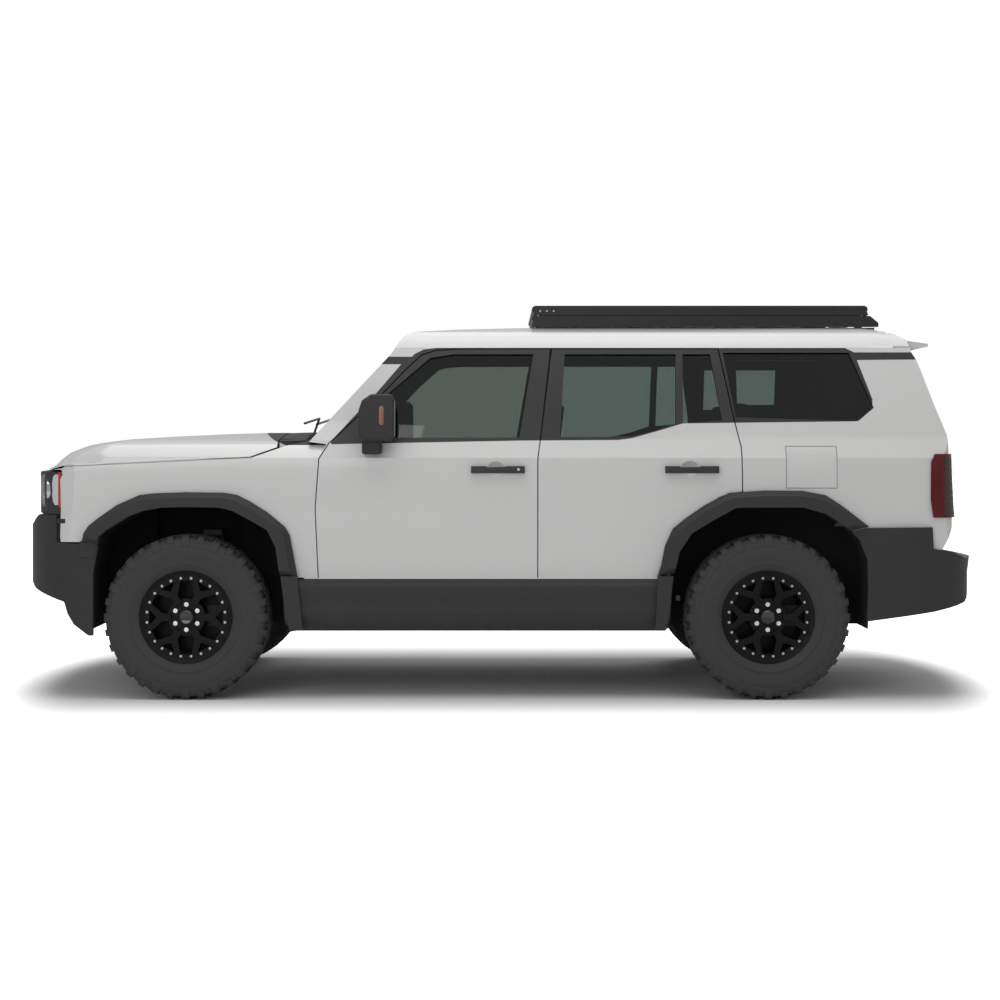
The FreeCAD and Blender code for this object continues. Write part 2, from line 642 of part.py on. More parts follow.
def door_cut(name, sign):
    """What a door needs in the body side: its gap, and the opening inside the rebate."""
    outline = side_points(DOOR_SHARES[name])
    far = sign * FLARE_HALF
    edges = (min(0, far), max(0, far))
    face = side_strip(sign, -P.overrun, P.door_skin + P.seat_gap)
    gap = face.common(prism_y(grow(outline, P.shut_gap), *edges))
    behind = side_strip(sign, P.door_skin, P.door_skin + P.seal_gap)
    behind = behind.common(prism_y(grow(outline, P.shut_gap), *edges))
    behind = behind.cut(prism_y(grow(outline, P.seal_width - P.rebate), *edges))
    inside = prism_y(grow(outline, -P.rebate), *edges)
    return [gap, behind, inside]


def body_side(sign, outer, inner):
    """One side of the body: pillars, rails, sill and rear quarter, with door openings."""
    low, high = sorted((sign * RAIL_HALF / 2, sign * FLARE_HALF))
    front = station(0.2020)
    shell = outer.cut(inner).common(block(front, LENGTH, low, high, 0, RAIL_Z))
    tail = TAIL_OPENING_HALF
    shell = shell.cut([tail_room(tail), cabin_room(sign)])
    cuts = door_cut("front", sign) + door_cut("rear", sign)
    cuts += window_cut(side_points(GLASS_SHARES["quarter"]), sign)
    cuts += arch_cuts(P.flare_flange + P.fit_gap)
    wing = prism_y(grow(side_points(FENDER_SHARES), P.fit_gap), low, high)
    skin = nose_solid(-P.overrun).cut(nose_solid(P.panel_wall + P.shut_gap))
    return shell.cut(cuts + [skin.common(wing)])


def cabin_room(sign):
    """The room inside the body below the crease, which floor and dashboard fill."""
    half = FLOOR_HALF + P.fit_gap
    room = block(-LENGTH, REAR_AXLE, -half, half, 0, CREASE_Z)
    behind = block(REAR_AXLE, LENGTH, -half, half, 0, TAIL_SILL_Z)
    foot = side_points(SCREEN_LINE_SHARES)[0]
    ahead = block(-LENGTH, foot[0] + P.shut_gap, -half, half, 0, BELT_Z)
    return room.fuse([behind, ahead])


def tail_room(half):
    """The tailgate's opening, with a flange left inside for the gate to close on."""
    room = block(REAR_AXLE, LENGTH, -half, half, 0, 2 * CROWN_Z)
    inside = cabin_solid(P.tail_wall + P.seat_gap)
    for sign in SIDES.values():
        low, high = sorted((sign * (half - P.tail_flange), sign * half))
        room = room.cut(inside.common(block(REAR_AXLE, LENGTH, low, high, TAIL_SILL_Z,
                                            RAIL_Z)))
    return room


def make_body():
    """The fixed shell: two sides, the roof, and the panes let into them."""
    outer = cabin_solid(0)
    inner = cabin_solid(P.pillar_wall)
    for side, sign in SIDES.items():
        shell = body_side(sign, outer, inner)
        shell = shell.cut(screen_zone())
        feature(f"body_side_{side}", biggest(shell.cut(lamp_room(sign)).cut(flap_cut(sign))))
    make_roof(outer)
    make_screen()
    quarters = [pane(side_points(GLASS_SHARES["quarter"]), sign, P.glass_lap, 0)
                for sign in SIDES.values()]
    feature("quarter_glass", together(quarters))


def biggest(shape):
    """The largest solid of a shape."""
    return max(shape.Solids, key=lambda solid: solid.Volume)


def screen_zone():
    """The windscreen's opening between the pillars, as a prism across its slope."""
    foot, head = side_points(SCREEN_LINE_SHARES)
    rise = (RAIL_Z - foot[1]) / (head[1] - foot[1])
    head = (foot[0] + (head[0] - foot[0]) * rise, RAIL_Z)
    half_low, half_high = BELT_HALF - P.screen_frame, RAIL_HALF - 2 * P.screen_frame
    reach = P.screen_radius / 8
    back = P.pillar_wall * 3
    points = [V(foot[0] - P.overrun, -half_low, foot[1] - P.overrun),
              V(foot[0] - P.overrun, half_low, foot[1] - P.overrun),
              V(head[0] - P.overrun, half_high, head[1]),
              V(head[0] - P.overrun, -half_high, head[1])]
    slope = V(head[0] - foot[0], 0, head[1] - foot[1]).normalize()
    inward = V(slope.z, 0, -slope.x)
    moved = [point - inward * reach for point in points]
    return polygon_prism(moved, inward * (reach + back))


def make_roof(outer):
    """The roof cap above the drip rail, an open shell, cut back at screen and tail."""
    shell = outer.cut(cabin_solid(P.roof_wall))
    rear = station(1.5493)
    front = station(0.3460)
    cap = shell.common(block(front, rear, -FLARE_HALF, FLARE_HALF,
                             RAIL_Z + P.fit_gap, 2 * CROWN_Z))
    feature("roof_panel", biggest(cap))


def make_screen():
    """The windscreen, a curved pane that lies in the opening between the pillars."""
    layer = cabin_solid(P.glass_depth).cut(cabin_solid(P.glass_depth + P.glass_wall))
    zone = screen_zone()
    foot, head = side_points(SCREEN_LINE_SHARES)
    low = block(-LENGTH, head[0] + 2 * P.overrun, -FLARE_HALF, FLARE_HALF, foot[1],
                RAIL_Z + P.pillar_wall)
    feature("windshield", biggest(overlap([layer, zone, low])))


def lamp_room(sign):
    """The corner of the body that the tail lamp fills."""
    low, high = sorted((sign * (P.crease_half - P.tail_lamp_in), sign * FLARE_HALF))
    front, rear = station(1.7), LENGTH / 2
    outline = [(front, TAIL_LAMP_LOW_Z), (rear, TAIL_LAMP_LOW_Z), (rear, TAIL_LAMP_TOP_Z),
               (front + P.overrun / 2, TAIL_LAMP_TOP_Z), (front, TAIL_LAMP_TOP_Z - P.overrun)]
    return prism_y(outline, low, high)


FLAP_SHARES = [(1.0802, 0.392), (1.2844, 0.392), (1.2844, 0.565), (1.0802, 0.565)]


def flap_cut(sign):
    """The pocket of the fuel flap, on the left rear quarter only."""
    if sign > 0:
        return block(0, 1, 0, 1, 0, 1)
    pocket = side_strip(sign, -P.overrun, P.panel_wall / 2 + P.seat_gap)
    outline = grow(side_points(FLAP_SHARES), P.shut_gap)
    return pocket.common(prism_y(outline, -FLARE_HALF, 0))


def make_flap():
    """The fuel flap, flush with the left rear quarter."""
    lid = side_strip(-1, 0, P.panel_wall / 2)
    feature("fuel_flap", lid.common(prism_y(side_points(FLAP_SHARES), -FLARE_HALF, 0)))


def make_front_panels():
    """Fenders, the clamshell bonnet and the cowl behind it."""
    outer, inner = nose_solid(0), nose_solid(P.panel_wall)
    shell = outer.cut(inner)
    for side, sign in SIDES.items():
        low, high = sorted((sign * (BONNET_EDGE_HALF - P.seal_width), sign * FLARE_HALF))
        wing = shell.common(prism_y(side_points(FENDER_SHARES), low, high))
        lips = nose_solid(P.seal_width).cut(inner)
        wing = wing.fuse(lips.common(prism_y(bonnet_seal(), low, high))).removeSplitter()
        wing = wing.cut(arch_cuts(P.flare_flange + P.fit_gap))
        feature(f"fender_{side}", biggest(wing))
    lid = shell.common(prism_y(side_points(BONNET_SHARES), -FLARE_HALF, FLARE_HALF))
    feature("bonnet", biggest(lid))
    front = station(0.1560)
    foot = side_points(SCREEN_LINE_SHARES)[0]
    top = BELT_Z + P.shut_gap
    tray = [(front, top - P.panel_wall), (front, top), (foot[0] - P.overrun, top),
            (foot[0] + P.overrun / 2, top - P.panel_wall)]
    half = BONNET_EDGE_HALF - P.seal_width - P.fit_gap
    feature("cowl", prism_y(tray, -half, half))


def bonnet_seal():
    """The strip between fender and bonnet that the closed bonnet lies on."""
    lower = side_points([FENDER_SHARES[-2], FENDER_SHARES[-1]])
    upper = side_points([BONNET_SHARES[2], BONNET_SHARES[3]])
    return lower + [(x, z - P.seat_gap) for x, z in upper]


def lamp_holes():
    """Round openings for the headlamps at the corners of the front end."""
    centre_z = (GRILLE_LOW_Z + GRILLE_TOP_Z) / 2 + P.lamp_rise
    centre_y = P.crease_half - P.lamp_in
    holes = []
    for sign in SIDES.values():
        start = V(-LENGTH / 2, sign * centre_y, centre_z)
        holes.append(Part.makeCylinder(P.lamp_radius, LENGTH / 8, start, V(1, 0, 0)))
    return holes


# cladding

def flare(axle, sign):
    """A wheel flare: a chamfered band outside the panel and a flange into the arch."""
    outer = arch_points(AXLES[axle], FLARE_OUTER_SHARES[axle])
    face = FLARE_HALF
    top = grow(outer, -P.flare_chamfer)
    base = [V(x, LOW_HALF - P.panel_wall, z) for x, z in outer]
    step = [V(x, face - P.flare_rise, z) for x, z in outer]
    crest = [V(x, face, z) for x, z in top]
    wires = [Part.makePolygon(points + points[:1]) for points in (base, step, crest)]
    band = Part.makeLoft(wires, True, True)
    band = band.cut(cabin_block())
    flange_y = LOW_HALF - P.rebate
    hoop = arch_void(axle, P.flare_flange, flange_y, P.crease_half)
    hoop = hoop.common(prism_y(outer, 0, FLARE_HALF))
    ring = band.fuse(hoop).cut(arch_void(axle, 0, 0, 2 * face))
    ring = biggest(ring.removeSplitter())
    return ring if sign > 0 else mirrored(ring)


def cabin_block():
    """The body side as one long plain block, which cladding is seated on."""
    face = section_face(0, cabin_half(), cabin_bulges(), 0)
    face.translate(V(-LENGTH / 2, 0, 0))
    return face.extrude(V(LENGTH, 0, 0))


def make_cladding():
    """Flares, rocker panels and the liners of the wheel arches."""
    feature("wheel_flares", together([flare(axle, sign) for axle in AXLES
                                      for sign in SIDES.values()]))
    top = SHELL_BOTTOM - P.fit_gap
    outline = [(ROCKER_INNER, top), (LOW_HALF, top),
               (ROCKER_HALF, P.door_line_z - P.rail_width / 2),
               (ROCKER_HALF, ROCKER_STEP_Z), (ROCKER_FOOT_HALF, ROCKER_LOW_Z),
               (ROCKER_INNER, ROCKER_LOW_Z)]
    low = FRONT_AXLE + P.tyre_radius
    high = REAR_AXLE - P.tyre_radius
    bar = prism_x(outline, low, high)
    bar = bar.cut([arch_void(axle, 0, 0, 2 * FLARE_HALF) for axle in AXLES])
    bar = bar.cut([arch_void(axle, P.flare_flange + P.fit_gap, 0, LOW_HALF) for axle in AXLES])
    bar = biggest(bar)
    feature("rocker_panels", together([bar, mirrored(bar)]))
    liners = [liner(axle) for axle in AXLES]
    feature("arch_liners", together(liners + [mirrored(piece) for piece in liners]))


def liner(axle):
    """The liner of a right wheel arch: hood, legs in front and behind, and inner wall."""
    inner_y = HOUSE_INNER_Y
    if axle == "front":
        inner_y = P.rail_outer_y + P.liner_gap
    outer_y = LOW_HALF - P.rebate - P.fit_gap
    low, step = ROCKER_LOW_Z + 2 * P.liner_wall, SHELL_BOTTOM - P.fit_gap
    hood = arch_void(axle, P.flare_flange, inner_y, LOW_HALF - P.fit_gap)
    hood = hood.cut(arch_void(axle, P.flare_flange - P.liner_wall, inner_y + P.liner_wall,
                              FLARE_HALF))
    hood = hood.cut([block(-LENGTH, LENGTH, outer_y, FLARE_HALF, step, CROWN_Z),
                     block(-LENGTH, LENGTH, 0, FLARE_HALF, 0, low)])
    x = AXLES[axle]
    slot = P.axle_slot if axle == "rear" else P.strut_slot
    top = P.tyre_radius + P.axle_slot if axle == "rear" else CREASE_Z
    hood = hood.cut(block(x - slot, x + slot, 0, inner_y + P.liner_wall, 0, top))
    return biggest(hood)


# front and rear ends

BUMPER_SIDE_SHARES = [(-1.0194, 0.2052), (-0.9086, 0.2299), (-0.8366, 0.2710),
                      (-0.7125, 0.2710), (-0.7099, 0.1540), (-0.4737, 0.1410),
                      (-0.4737, -0.2487), (-0.5296, -0.2487), (-0.6116, -0.2011),
                      (-0.6482, -0.1552), (-0.6681, -0.1049), (-0.9064, -0.0485),
                      (-1.0194, -0.0265)]


def make_front_end():
    """Bumper, grille and headlamps."""
    outer = plan_solid(BUMPER_PLAN_SHARES, 0, P.overrun, CROWN_Z)
    inner = plan_solid(BUMPER_PLAN_SHARES, P.bumper_wall, P.overrun, CROWN_Z)
    profile = prism_y(side_points(BUMPER_SIDE_SHARES), -FLARE_HALF, FLARE_HALF)
    solid = outer.common(profile)
    bar = outer.cut(inner).common(profile)
    rail_end = station(RAIL_PATH_SHARES[0][0]) - P.seat_gap
    level = END_RAIL_Z
    for sign in SIDES.values():
        low, high = sorted((sign * P.rail_outer_y, sign * (P.rail_outer_y - P.rail_width)))
        stay = block(-LENGTH, rail_end, low, high, level - P.overrun, level + P.overrun)
        bar = bar.fuse(stay.common(solid))
    feature("front_bumper", biggest(bar.removeSplitter().cut(arch_cuts(0))))
    make_grille()
    make_headlamps()


def make_grille():
    """The grille: a frame, and slats across its opening."""
    layer = nose_solid(P.fit_gap).cut(nose_solid(P.grille_depth))
    rear = side_points(FENDER_SHARES[:1])[0][0] - P.fit_gap
    zone = block(-LENGTH, rear, -FLARE_HALF, FLARE_HALF, GRILLE_LOW_Z, GRILLE_TOP_Z)
    panel = layer.common(zone).cut(lamp_holes())
    rim = P.rail_width / 2
    low, high = GRILLE_LOW_Z + rim, GRILLE_TOP_Z - rim
    half = P.grille_half - rim
    hole = block(-LENGTH, FRONT_AXLE, -half, half, low, high)
    frame = panel.cut(hole)
    pitch = (high - low) / 5
    slats = [panel.common(block(-LENGTH, FRONT_AXLE, -half - rim, half + rim,
                                low + (index + 0.5) * pitch - P.slat_height / 2,
                                low + (index + 0.5) * pitch + P.slat_height / 2))
             for index in range(5)]
    feature("grille", union([frame] + slats))


def make_headlamps():
    """Round headlamps in deep cans behind the front panels."""
    centre_z = (GRILLE_LOW_Z + GRILLE_TOP_Z) / 2 + P.lamp_rise
    centre_y = P.crease_half - P.lamp_in
    skin = nose_solid(P.fit_gap)
    lamps = []
    for sign in SIDES.values():
        start = V(-LENGTH / 2, sign * centre_y, centre_z)
        can = Part.makeCylinder(P.lamp_radius - P.fit_gap, LENGTH / 2, start, V(1, 0, 0))
        front = can.common(skin)
        limit = front.BoundBox.XMin + P.lamp_depth
        lamps.append(front.common(block(-LENGTH, limit, -FLARE_HALF, FLARE_HALF, 0,
                                        CROWN_Z)))
    feature("headlamps", together(lamps))


REAR_BUMPER_SHARES = [(1.2473, 0.1760), (1.35, 0.2), (1.4196, 0.2165),
                      (1.6857, 0.2190), (1.6908, 0.1252), (1.7190, 0.1217), (1.7778, 0.1120), (1.8614, 0.0776), (2.01, 0.0573),
                      (2.01, 0.0079), (1.8998, -0.0485), (1.8554, -0.1305),
                      (1.6917, -0.1650), (1.5629, -0.1843), (1.3599, -0.2143),
                      (1.2473, -0.2205)]
REAR_PLAN_SHARES = [(2.0, 0), (1.98, 0.26), (1.9194, 0.529), (1.8793, 0.741), (1.8316, 0.885),
                    (1.7676, 0.968), (1.6738, 1.012), (1.20, 1.03)]


def make_rear_end():
    """Rear bumper that wraps round the quarters, and the tail lamps."""
    rear = LENGTH / 2
    corner = P.tail_corner * 2
    wall = [plan_solid(REAR_PLAN_SHARES, depth, REAR_AXLE, CROWN_Z)
            for depth in (0, P.bumper_wall)]
    profile = prism_y(side_points(REAR_BUMPER_SHARES), -FLARE_HALF, FLARE_HALF)
    inner = prism_y(grow(side_points(REAR_BUMPER_SHARES), -P.bumper_wall), -FLARE_HALF,
                    FLARE_HALF)
    ahead = inner.copy()
    ahead.translate(V(-2 * P.bumper_wall, 0, 0))
    shell = wall[0].common(profile).cut([wall[1].common(inner), wall[1].common(ahead)])
    half = TAIL_OPENING_HALF
    top = TAIL_SILL_Z - P.shut_gap
    open_top = block(0, rear, -half, half, top, CROWN_Z)
    open_floor = block(0, rear - corner, -KINGPIN_Y, KINGPIN_Y, 0, RECEIVER_Z)
    room = P.receiver_half + P.fit_gap
    socket = block(0, rear, -room, room, RECEIVER_Z - room, RECEIVER_Z + room)
    shell = shell.cut(arch_cuts(0) + [cabin_solid(0), open_top, open_floor, socket])
    shell = shell.cut(arch_void("rear", P.flare_flange + P.fit_gap, -LOW_HALF, LOW_HALF))
    feature("rear_bumper", biggest(shell))
    lamps = []
    skin = cabin_solid(-P.tail_lamp_out).cut(cabin_solid(P.tail_lamp_depth))
    for sign in SIDES.values():
        lamp = skin.common(lamp_room(sign))
        lamps.append(biggest(lamp))
    feature("taillamps", together(lamps))


# tailgate

def tail_zone(half, low_z, high_z):
    """The room of the tailgate behind the rear pillars."""
    front = station(1.5493) + P.shut_gap
    return block(front, LENGTH, -half, half, low_z, high_z)


def make_tailgate():
    """The tailgate with its spoiler and window."""
    shell = cabin_solid(0).cut(cabin_solid(P.tail_wall))
    half = TAIL_OPENING_HALF - P.shut_gap
    gate = shell.common(tail_zone(half, TAIL_SILL_Z, 2 * CROWN_Z))
    gate = gate.cut([rear_view(0), rear_groove()])
    feature("tailgate", biggest(gate.fuse(spoiler()).removeSplitter()))
    layer = cabin_solid(P.glass_depth).cut(cabin_solid(P.glass_depth + P.glass_wall))
    feature("tailgate_glass", biggest(layer.common(rear_view(P.glass_lap))))


def rear_view(lap):
    """The rear window's opening through the tailgate."""
    low, high = BELT_Z + P.overrun, RAIL_Z - P.overrun
    half_low, half_high = RAIL_HALF - P.overrun * 2, RAIL_HALF - P.overrun * 3
    outline = [(-half_low - lap, low - lap), (half_low + lap, low - lap),
               (half_high + lap, high + lap), (-half_high - lap, high + lap)]
    return prism_x(outline, REAR_AXLE + P.tyre_radius, LENGTH)


def rear_groove():
    """The groove of the rear window's glass."""
    outer = cabin_solid(P.glass_depth - P.glass_play)
    layer = outer.cut(cabin_solid(P.glass_depth + P.glass_wall + P.glass_play))
    return layer.common(rear_view(P.glass_lap + P.glass_play))


def spoiler():
    """The lip that carries the roof line past the rear window."""
    outline = side_points([(1.5591, 1.0500), (1.6247, 1.0500), (1.7511, 1.0344),
                           (1.7462, 1.0220), (1.6823, 0.9974), (1.5591, 0.9974)])
    return prism_y(outline, -SPOILER_HALF, SPOILER_HALF)


# frame and running gear

TANK_CROSS_SHARE = 0.52
RAIL_PATH_SHARES = [(-0.7579, 0), (-0.3789, 1), (0.0900, 1), (0.1900, 2), (0.7900, 2),
                    (0.8800, 3), (1.2917, 3), (1.5104, 0), (1.7292, 0)]


def rail_outline():
    """A side rail from the side, kicked up over both axles."""
    heights = [END_RAIL_Z, FRONT_RAIL_Z, MIDDLE_RAIL_Z,
               REAR_RAIL_Z]
    centre = [(station(along), heights[level])
              for along, level in RAIL_PATH_SHARES]
    upper = [(x, z + P.rail_height / 2) for x, z in centre]
    lower = [(x, z - P.rail_height / 2) for x, z in reversed(centre)]
    return upper + lower


def make_frame():
    """The ladder frame with its arm brackets and subframe, and the tow receiver."""
    inner_y = P.rail_outer_y - P.rail_width
    rail = prism_y(rail_outline(), inner_y, P.rail_outer_y)
    pieces = [rail, mirrored(rail)]
    half_height = P.rail_height / 2
    end_level = END_RAIL_Z
    low = MIDDLE_RAIL_Z - half_height
    for along, low_z, high_z in (
            (-0.6947, end_level - half_height, end_level + half_height),
            (0.42, low, low + P.cross_height), (TANK_CROSS_SHARE, low, low + P.cross_height),
            (1.6563, end_level - half_height, end_level + half_height)):
        x = station(along)
        pieces.append(block(x - P.cross_width / 2, x + P.cross_width / 2, -inner_y, inner_y,
                            low_z, high_z))
    reach, wide = P.bracket_reach, P.bracket_half
    for sign in SIDES.values():
        for end in (-1, 1):
            x = FRONT_AXLE + end * reach
            low, high = sorted((sign * inner_y, sign * P.rail_outer_y))
            pieces.append(block(x - wide, x + wide, low, high, BRACKET_LOW_Z,
                                FRONT_RAIL_Z))
    plate = block(FRONT_AXLE - reach, FRONT_AXLE + reach, -inner_y, inner_y,
                  BRACKET_LOW_Z, BRACKET_LOW_Z + P.subframe_plate)
    post_x = FRONT_AXLE - P.steer_arm
    for sign in SIDES.values():
        low, high = sorted((sign * P.rack_housing_half * 0.6, sign * P.rack_housing_half * 0.8))
        pieces.append(block(post_x - P.rod_radius, post_x + P.rod_radius, low, high,
                            BRACKET_LOW_Z, ROD_Z))
    housing = rod(V(post_x, -P.rack_housing_half, ROD_Z),
                  V(post_x, P.rack_housing_half, ROD_Z), P.rack_housing)
    frame = union(pieces + [plate, housing])
    bore = rod(V(post_x, -FLARE_HALF, ROD_Z), V(post_x, FLARE_HALF, ROD_Z),
               P.rod_radius + P.fit_gap)
    feature("chassis_frame", frame.cut(bore))
    feature("tow_receiver", receiver().cut([receiver_bore(), frame]))


def receiver():
    """The square tow receiver under the rear bumper, hung from the last cross member."""
    rear = LENGTH / 2 - P.bumper_wall
    half = P.receiver_half
    front = station(1.6563) - P.cross_width / 2
    tube = block(front, rear, -half, half, RECEIVER_Z - half, RECEIVER_Z + half)
    hanger = block(front, front + P.cross_width, -half, half, RECEIVER_Z,
                   END_RAIL_Z)
    return tube.fuse(hanger)


def receiver_bore():
    """The receiver's square socket and the hole of its pin."""
    rear = LENGTH / 2
    half = P.receiver_bore
    socket = block(rear - P.receiver_length, rear, -half, half, RECEIVER_Z - half,
                   RECEIVER_Z + half)
    pin_x = rear - P.bumper_wall - P.receiver_length / 3
    pin = rod(V(pin_x, -P.cross_width, RECEIVER_Z), V(pin_x, P.cross_width, RECEIVER_Z),
              P.pin_radius)
    return socket.fuse(pin)


def wishbone(sign, z, reach, radius, ball):
    """An A arm from two frame pivots to its ball on the kingpin."""
    tip = V(FRONT_AXLE, sign * KINGPIN_Y, z)
    legs = [rod(V(FRONT_AXLE + end * reach, sign * ARM_INNER_Y, z), tip, radius)
            for end in (-1, 1)]
    return legs + [rod(tip - V(0, 0, radius), tip + V(0, 0, radius), ball)]


def make_front_suspension():
    """Both arms and the coil strut of each front wheel, seated on the frame."""
    rails = DOC.getObject("chassis_frame").Shape
    pieces = []
    for sign in SIDES.values():
        arms = wishbone(sign, LOWER_BALL_Z, P.bracket_reach, P.lower_arm_radius,
                        P.ball_radius)
        arms += wishbone(sign, UPPER_BALL_Z, P.upper_arm_reach, P.upper_arm_radius,
                         P.ball_radius - P.arm_plate / 2)
        x = FRONT_AXLE + P.strut_x
        head_y, head_z = P.rail_outer_y + P.strut_head_out, FRONT_RAIL_Z + P.strut_rise
        foot = V(x, sign * (P.rail_outer_y + P.strut_foot_out), LOWER_BALL_Z)
        head = V(x, sign * head_y, head_z)
        line = head - foot
        arms.append(rod(foot, head, P.damper_radius))
        arms.append(rod(foot + line * 0.35, foot + line * 0.9, P.spring_radius))
        inner = (P.rail_outer_y - P.rail_width) * sign
        low, high = sorted((inner, sign * (head_y + P.spring_radius)))
        arms.append(block(x - P.spring_radius, x + P.spring_radius, low, high,
                          head_z - P.arm_plate, head_z + P.arm_plate))
        low, high = sorted((inner, sign * P.rail_outer_y))
        arms.append(block(x - P.spring_radius, x + P.spring_radius, low, high,
                          FRONT_RAIL_Z, head_z))
        pieces.append(union(arms).cut(rails))
    feature("front_suspension", together([biggest(piece) for piece in pieces]))


def make_knuckle(side, sign):
    """A front knuckle: carrier ring, uprights to the balls, steering arm and caliper."""
    x, z, y = FRONT_AXLE, P.tyre_radius, KNUCKLE_Y
    near, far = y, y + P.knuckle_width
    ring = rod(V(x, near, z), V(x, far, z), P.knuckle_ring)
    low = LOWER_BALL_Z + P.lower_arm_radius + P.ball_gap
    high = UPPER_BALL_Z - P.upper_arm_radius - P.ball_gap
    half = P.upright_width / 2
    upright = block(x - half, x + half, near, far, low, high)
    arm_z = ROD_Z + P.rod_eye_height / 2 + P.ball_gap
    eye_x = x - P.steer_arm
    arm = block(eye_x - half, x, STEER_ARM_Y - half, far - P.ball_gap, arm_z,
                arm_z + P.arm_plate)
    link = block(x + P.knuckle_ring / 2, x + P.caliper_inner + half, far - half, far,
                 z - P.rod_eye, z + P.rod_eye)
    body = union([ring, upright, arm, link, caliper(x)])
    body = body.cut(rod(V(x, near - P.overrun, z), V(x, far + P.ball_gap, z), P.knuckle_bore))
    feature(f"knuckle_{side}", body if sign > 0 else mirrored(body))


def caliper(axle_x):
    """A brake caliper that straddles the disc behind the axle."""
    z = P.tyre_radius
    body = block(axle_x + P.caliper_inner, axle_x + P.caliper_outer, (HALF_TRACK - P.caliper_in),
                 (HALF_TRACK - P.caliper_in) + P.caliper_width, z - P.caliper_half, z + P.caliper_half)
    slot = rod(V(axle_x, (HALF_TRACK - P.disc_in) - P.caliper_slot, z),
               V(axle_x, (HALF_TRACK - P.disc_in) + P.disc_thick + P.caliper_slot, z),
               P.disc_radius + P.caliper_slot)
    return body.cut(slot)


def make_rack():
    """The steering rack with its tie rods and their eyes under the steering arms."""
    x = FRONT_AXLE - P.steer_arm
    reach = STEER_ARM_Y
    bar = rod(V(x, -reach, ROD_Z), V(x, reach, ROD_Z), P.rod_radius)
    eyes = [rod(V(x, sign * reach, ROD_Z - P.rod_eye_height / 2),
                V(x, sign * reach, ROD_Z + P.rod_eye_height / 2), P.rod_eye)
            for sign in SIDES.values()]
    feature("steering_rack", union([bar] + eyes))


def make_driveline():
    """Front differential and half shafts, and both propeller shafts."""
    z = P.tyre_radius
    diff = rod(V(FRONT_AXLE, -P.diff_half, z), V(FRONT_AXLE, P.diff_half, z), P.diff_radius)
    shaft = rod(V(FRONT_AXLE, -KINGPIN_Y, z), V(FRONT_AXLE, KINGPIN_Y, z), P.half_shaft)
    balls = [Part.makeSphere(P.joint_ball, V(FRONT_AXLE, sign * KINGPIN_Y, z))
             for sign in SIDES.values()]
    end_x = FRONT_AXLE + P.engine_length
    front = rod(V(FRONT_AXLE, 0, z), V(end_x, 0, z), P.prop_radius)
    foot = block(FRONT_AXLE - P.overrun, FRONT_AXLE + P.overrun, -P.diff_half, P.diff_half,
                 BRACKET_LOW_Z + P.subframe_plate, z)
    fronts = union([diff, shaft, front, foot] + balls)
    start = V(FRONT_AXLE + P.engine_length * (1 - ENGINE_AHEAD_SHARE) + P.gearbox_length, 0,
              z + P.pinion_rise)
    rear = rod(start, V(REAR_AXLE - P.rear_diff_radius, 0, z), P.prop_radius)
    rear = rear.cut([DOC.getObject("engine_block").Shape, Part.makeSphere(
        P.rear_diff_radius + P.seat_gap, V(REAR_AXLE, 0, z))])
    feature("driveline", together([fronts, rear]))


def make_engine():
    """Engine and gearbox as one plain block on two mounts, at their real place."""
    front = f"{FRONT_AXLE_TEXT} - Sizes.engine_length * {ENGINE_AHEAD_SHARE}"
    block_body = DOC.addObject("Part::Box", "engine_main")
    bind(block_body, Length="Sizes.engine_length", Width="Sizes.engine_half * 2",
         Height="Sizes.engine_height")
    place(block_body, front, "-Sizes.engine_half", "Sizes.engine_low_z")
    gear = DOC.addObject("Part::Box", "gearbox_main")
    bind(gear, Length="Sizes.gearbox_length", Width="Sizes.gearbox_half * 2",
         Height="Sizes.gearbox_height")
    place(gear, f"{front} + Sizes.engine_length", "-Sizes.gearbox_half",
          "Sizes.gearbox_low_z")
    mount = DOC.addObject("Part::Box", "engine_mount")
    bind(mount, Length="Sizes.cross_width",
         Width="(Sizes.rail_outer_y - Sizes.rail_width) * 2",
         Height="Sizes.rail_width")
    place(mount, f"{front} + Sizes.engine_length / 2",
          "Sizes.rail_width - Sizes.rail_outer_y", f"{FRONT_RAIL_TEXT} - Sizes.rail_width / 2")
    whole = DOC.addObject("Part::MultiFuse", "engine_block")
    whole.Shapes = [block_body, gear, mount]
    keep("engine_block", whole)


def make_rear_axle():
    """The live rear axle: tube, differential, calipers, links, coils and dampers."""
    x, z = REAR_AXLE, P.tyre_radius
    end = KNUCKLE_Y + P.knuckle_width
    pieces = [rod(V(x, -end, z), V(x, end, z), P.axle_tube),
              Part.makeSphere(P.rear_diff_radius, V(x, 0, z))]
    inner_y = P.rail_outer_y - P.rail_width
    rail_low = REAR_RAIL_Z - P.rail_height / 2
    rail_mid = MIDDLE_RAIL_Z
    caliper_y = HALF_TRACK - P.caliper_in
    for sign in SIDES.values():
        grip = caliper(x)
        link = block(x + P.axle_tube / 2, x + P.caliper_inner + P.arm_plate,
                     caliper_y - P.arm_plate, end,
                     z - P.rod_eye, z + P.rod_eye)
        seat = rod(V(x - P.spring_radius, inner_y + P.rail_width / 2, z),
                   V(x - P.spring_radius, inner_y + P.rail_width / 2, rail_low),
                   P.spring_radius)
        trail = rod(V(x, inner_y + P.rail_width / 2, z - P.axle_tube),
                    V(x - P.tyre_radius * 1.9, inner_y + P.rail_width / 2, rail_mid - P.rod_eye),
                    P.lower_arm_radius)
        side = [grip, link, seat, trail]
        pieces += side if sign > 0 else [mirrored(piece) for piece in side]
    axle = union(pieces).cut(DOC.getObject("chassis_frame").Shape)
    feature("rear_axle", biggest(axle))


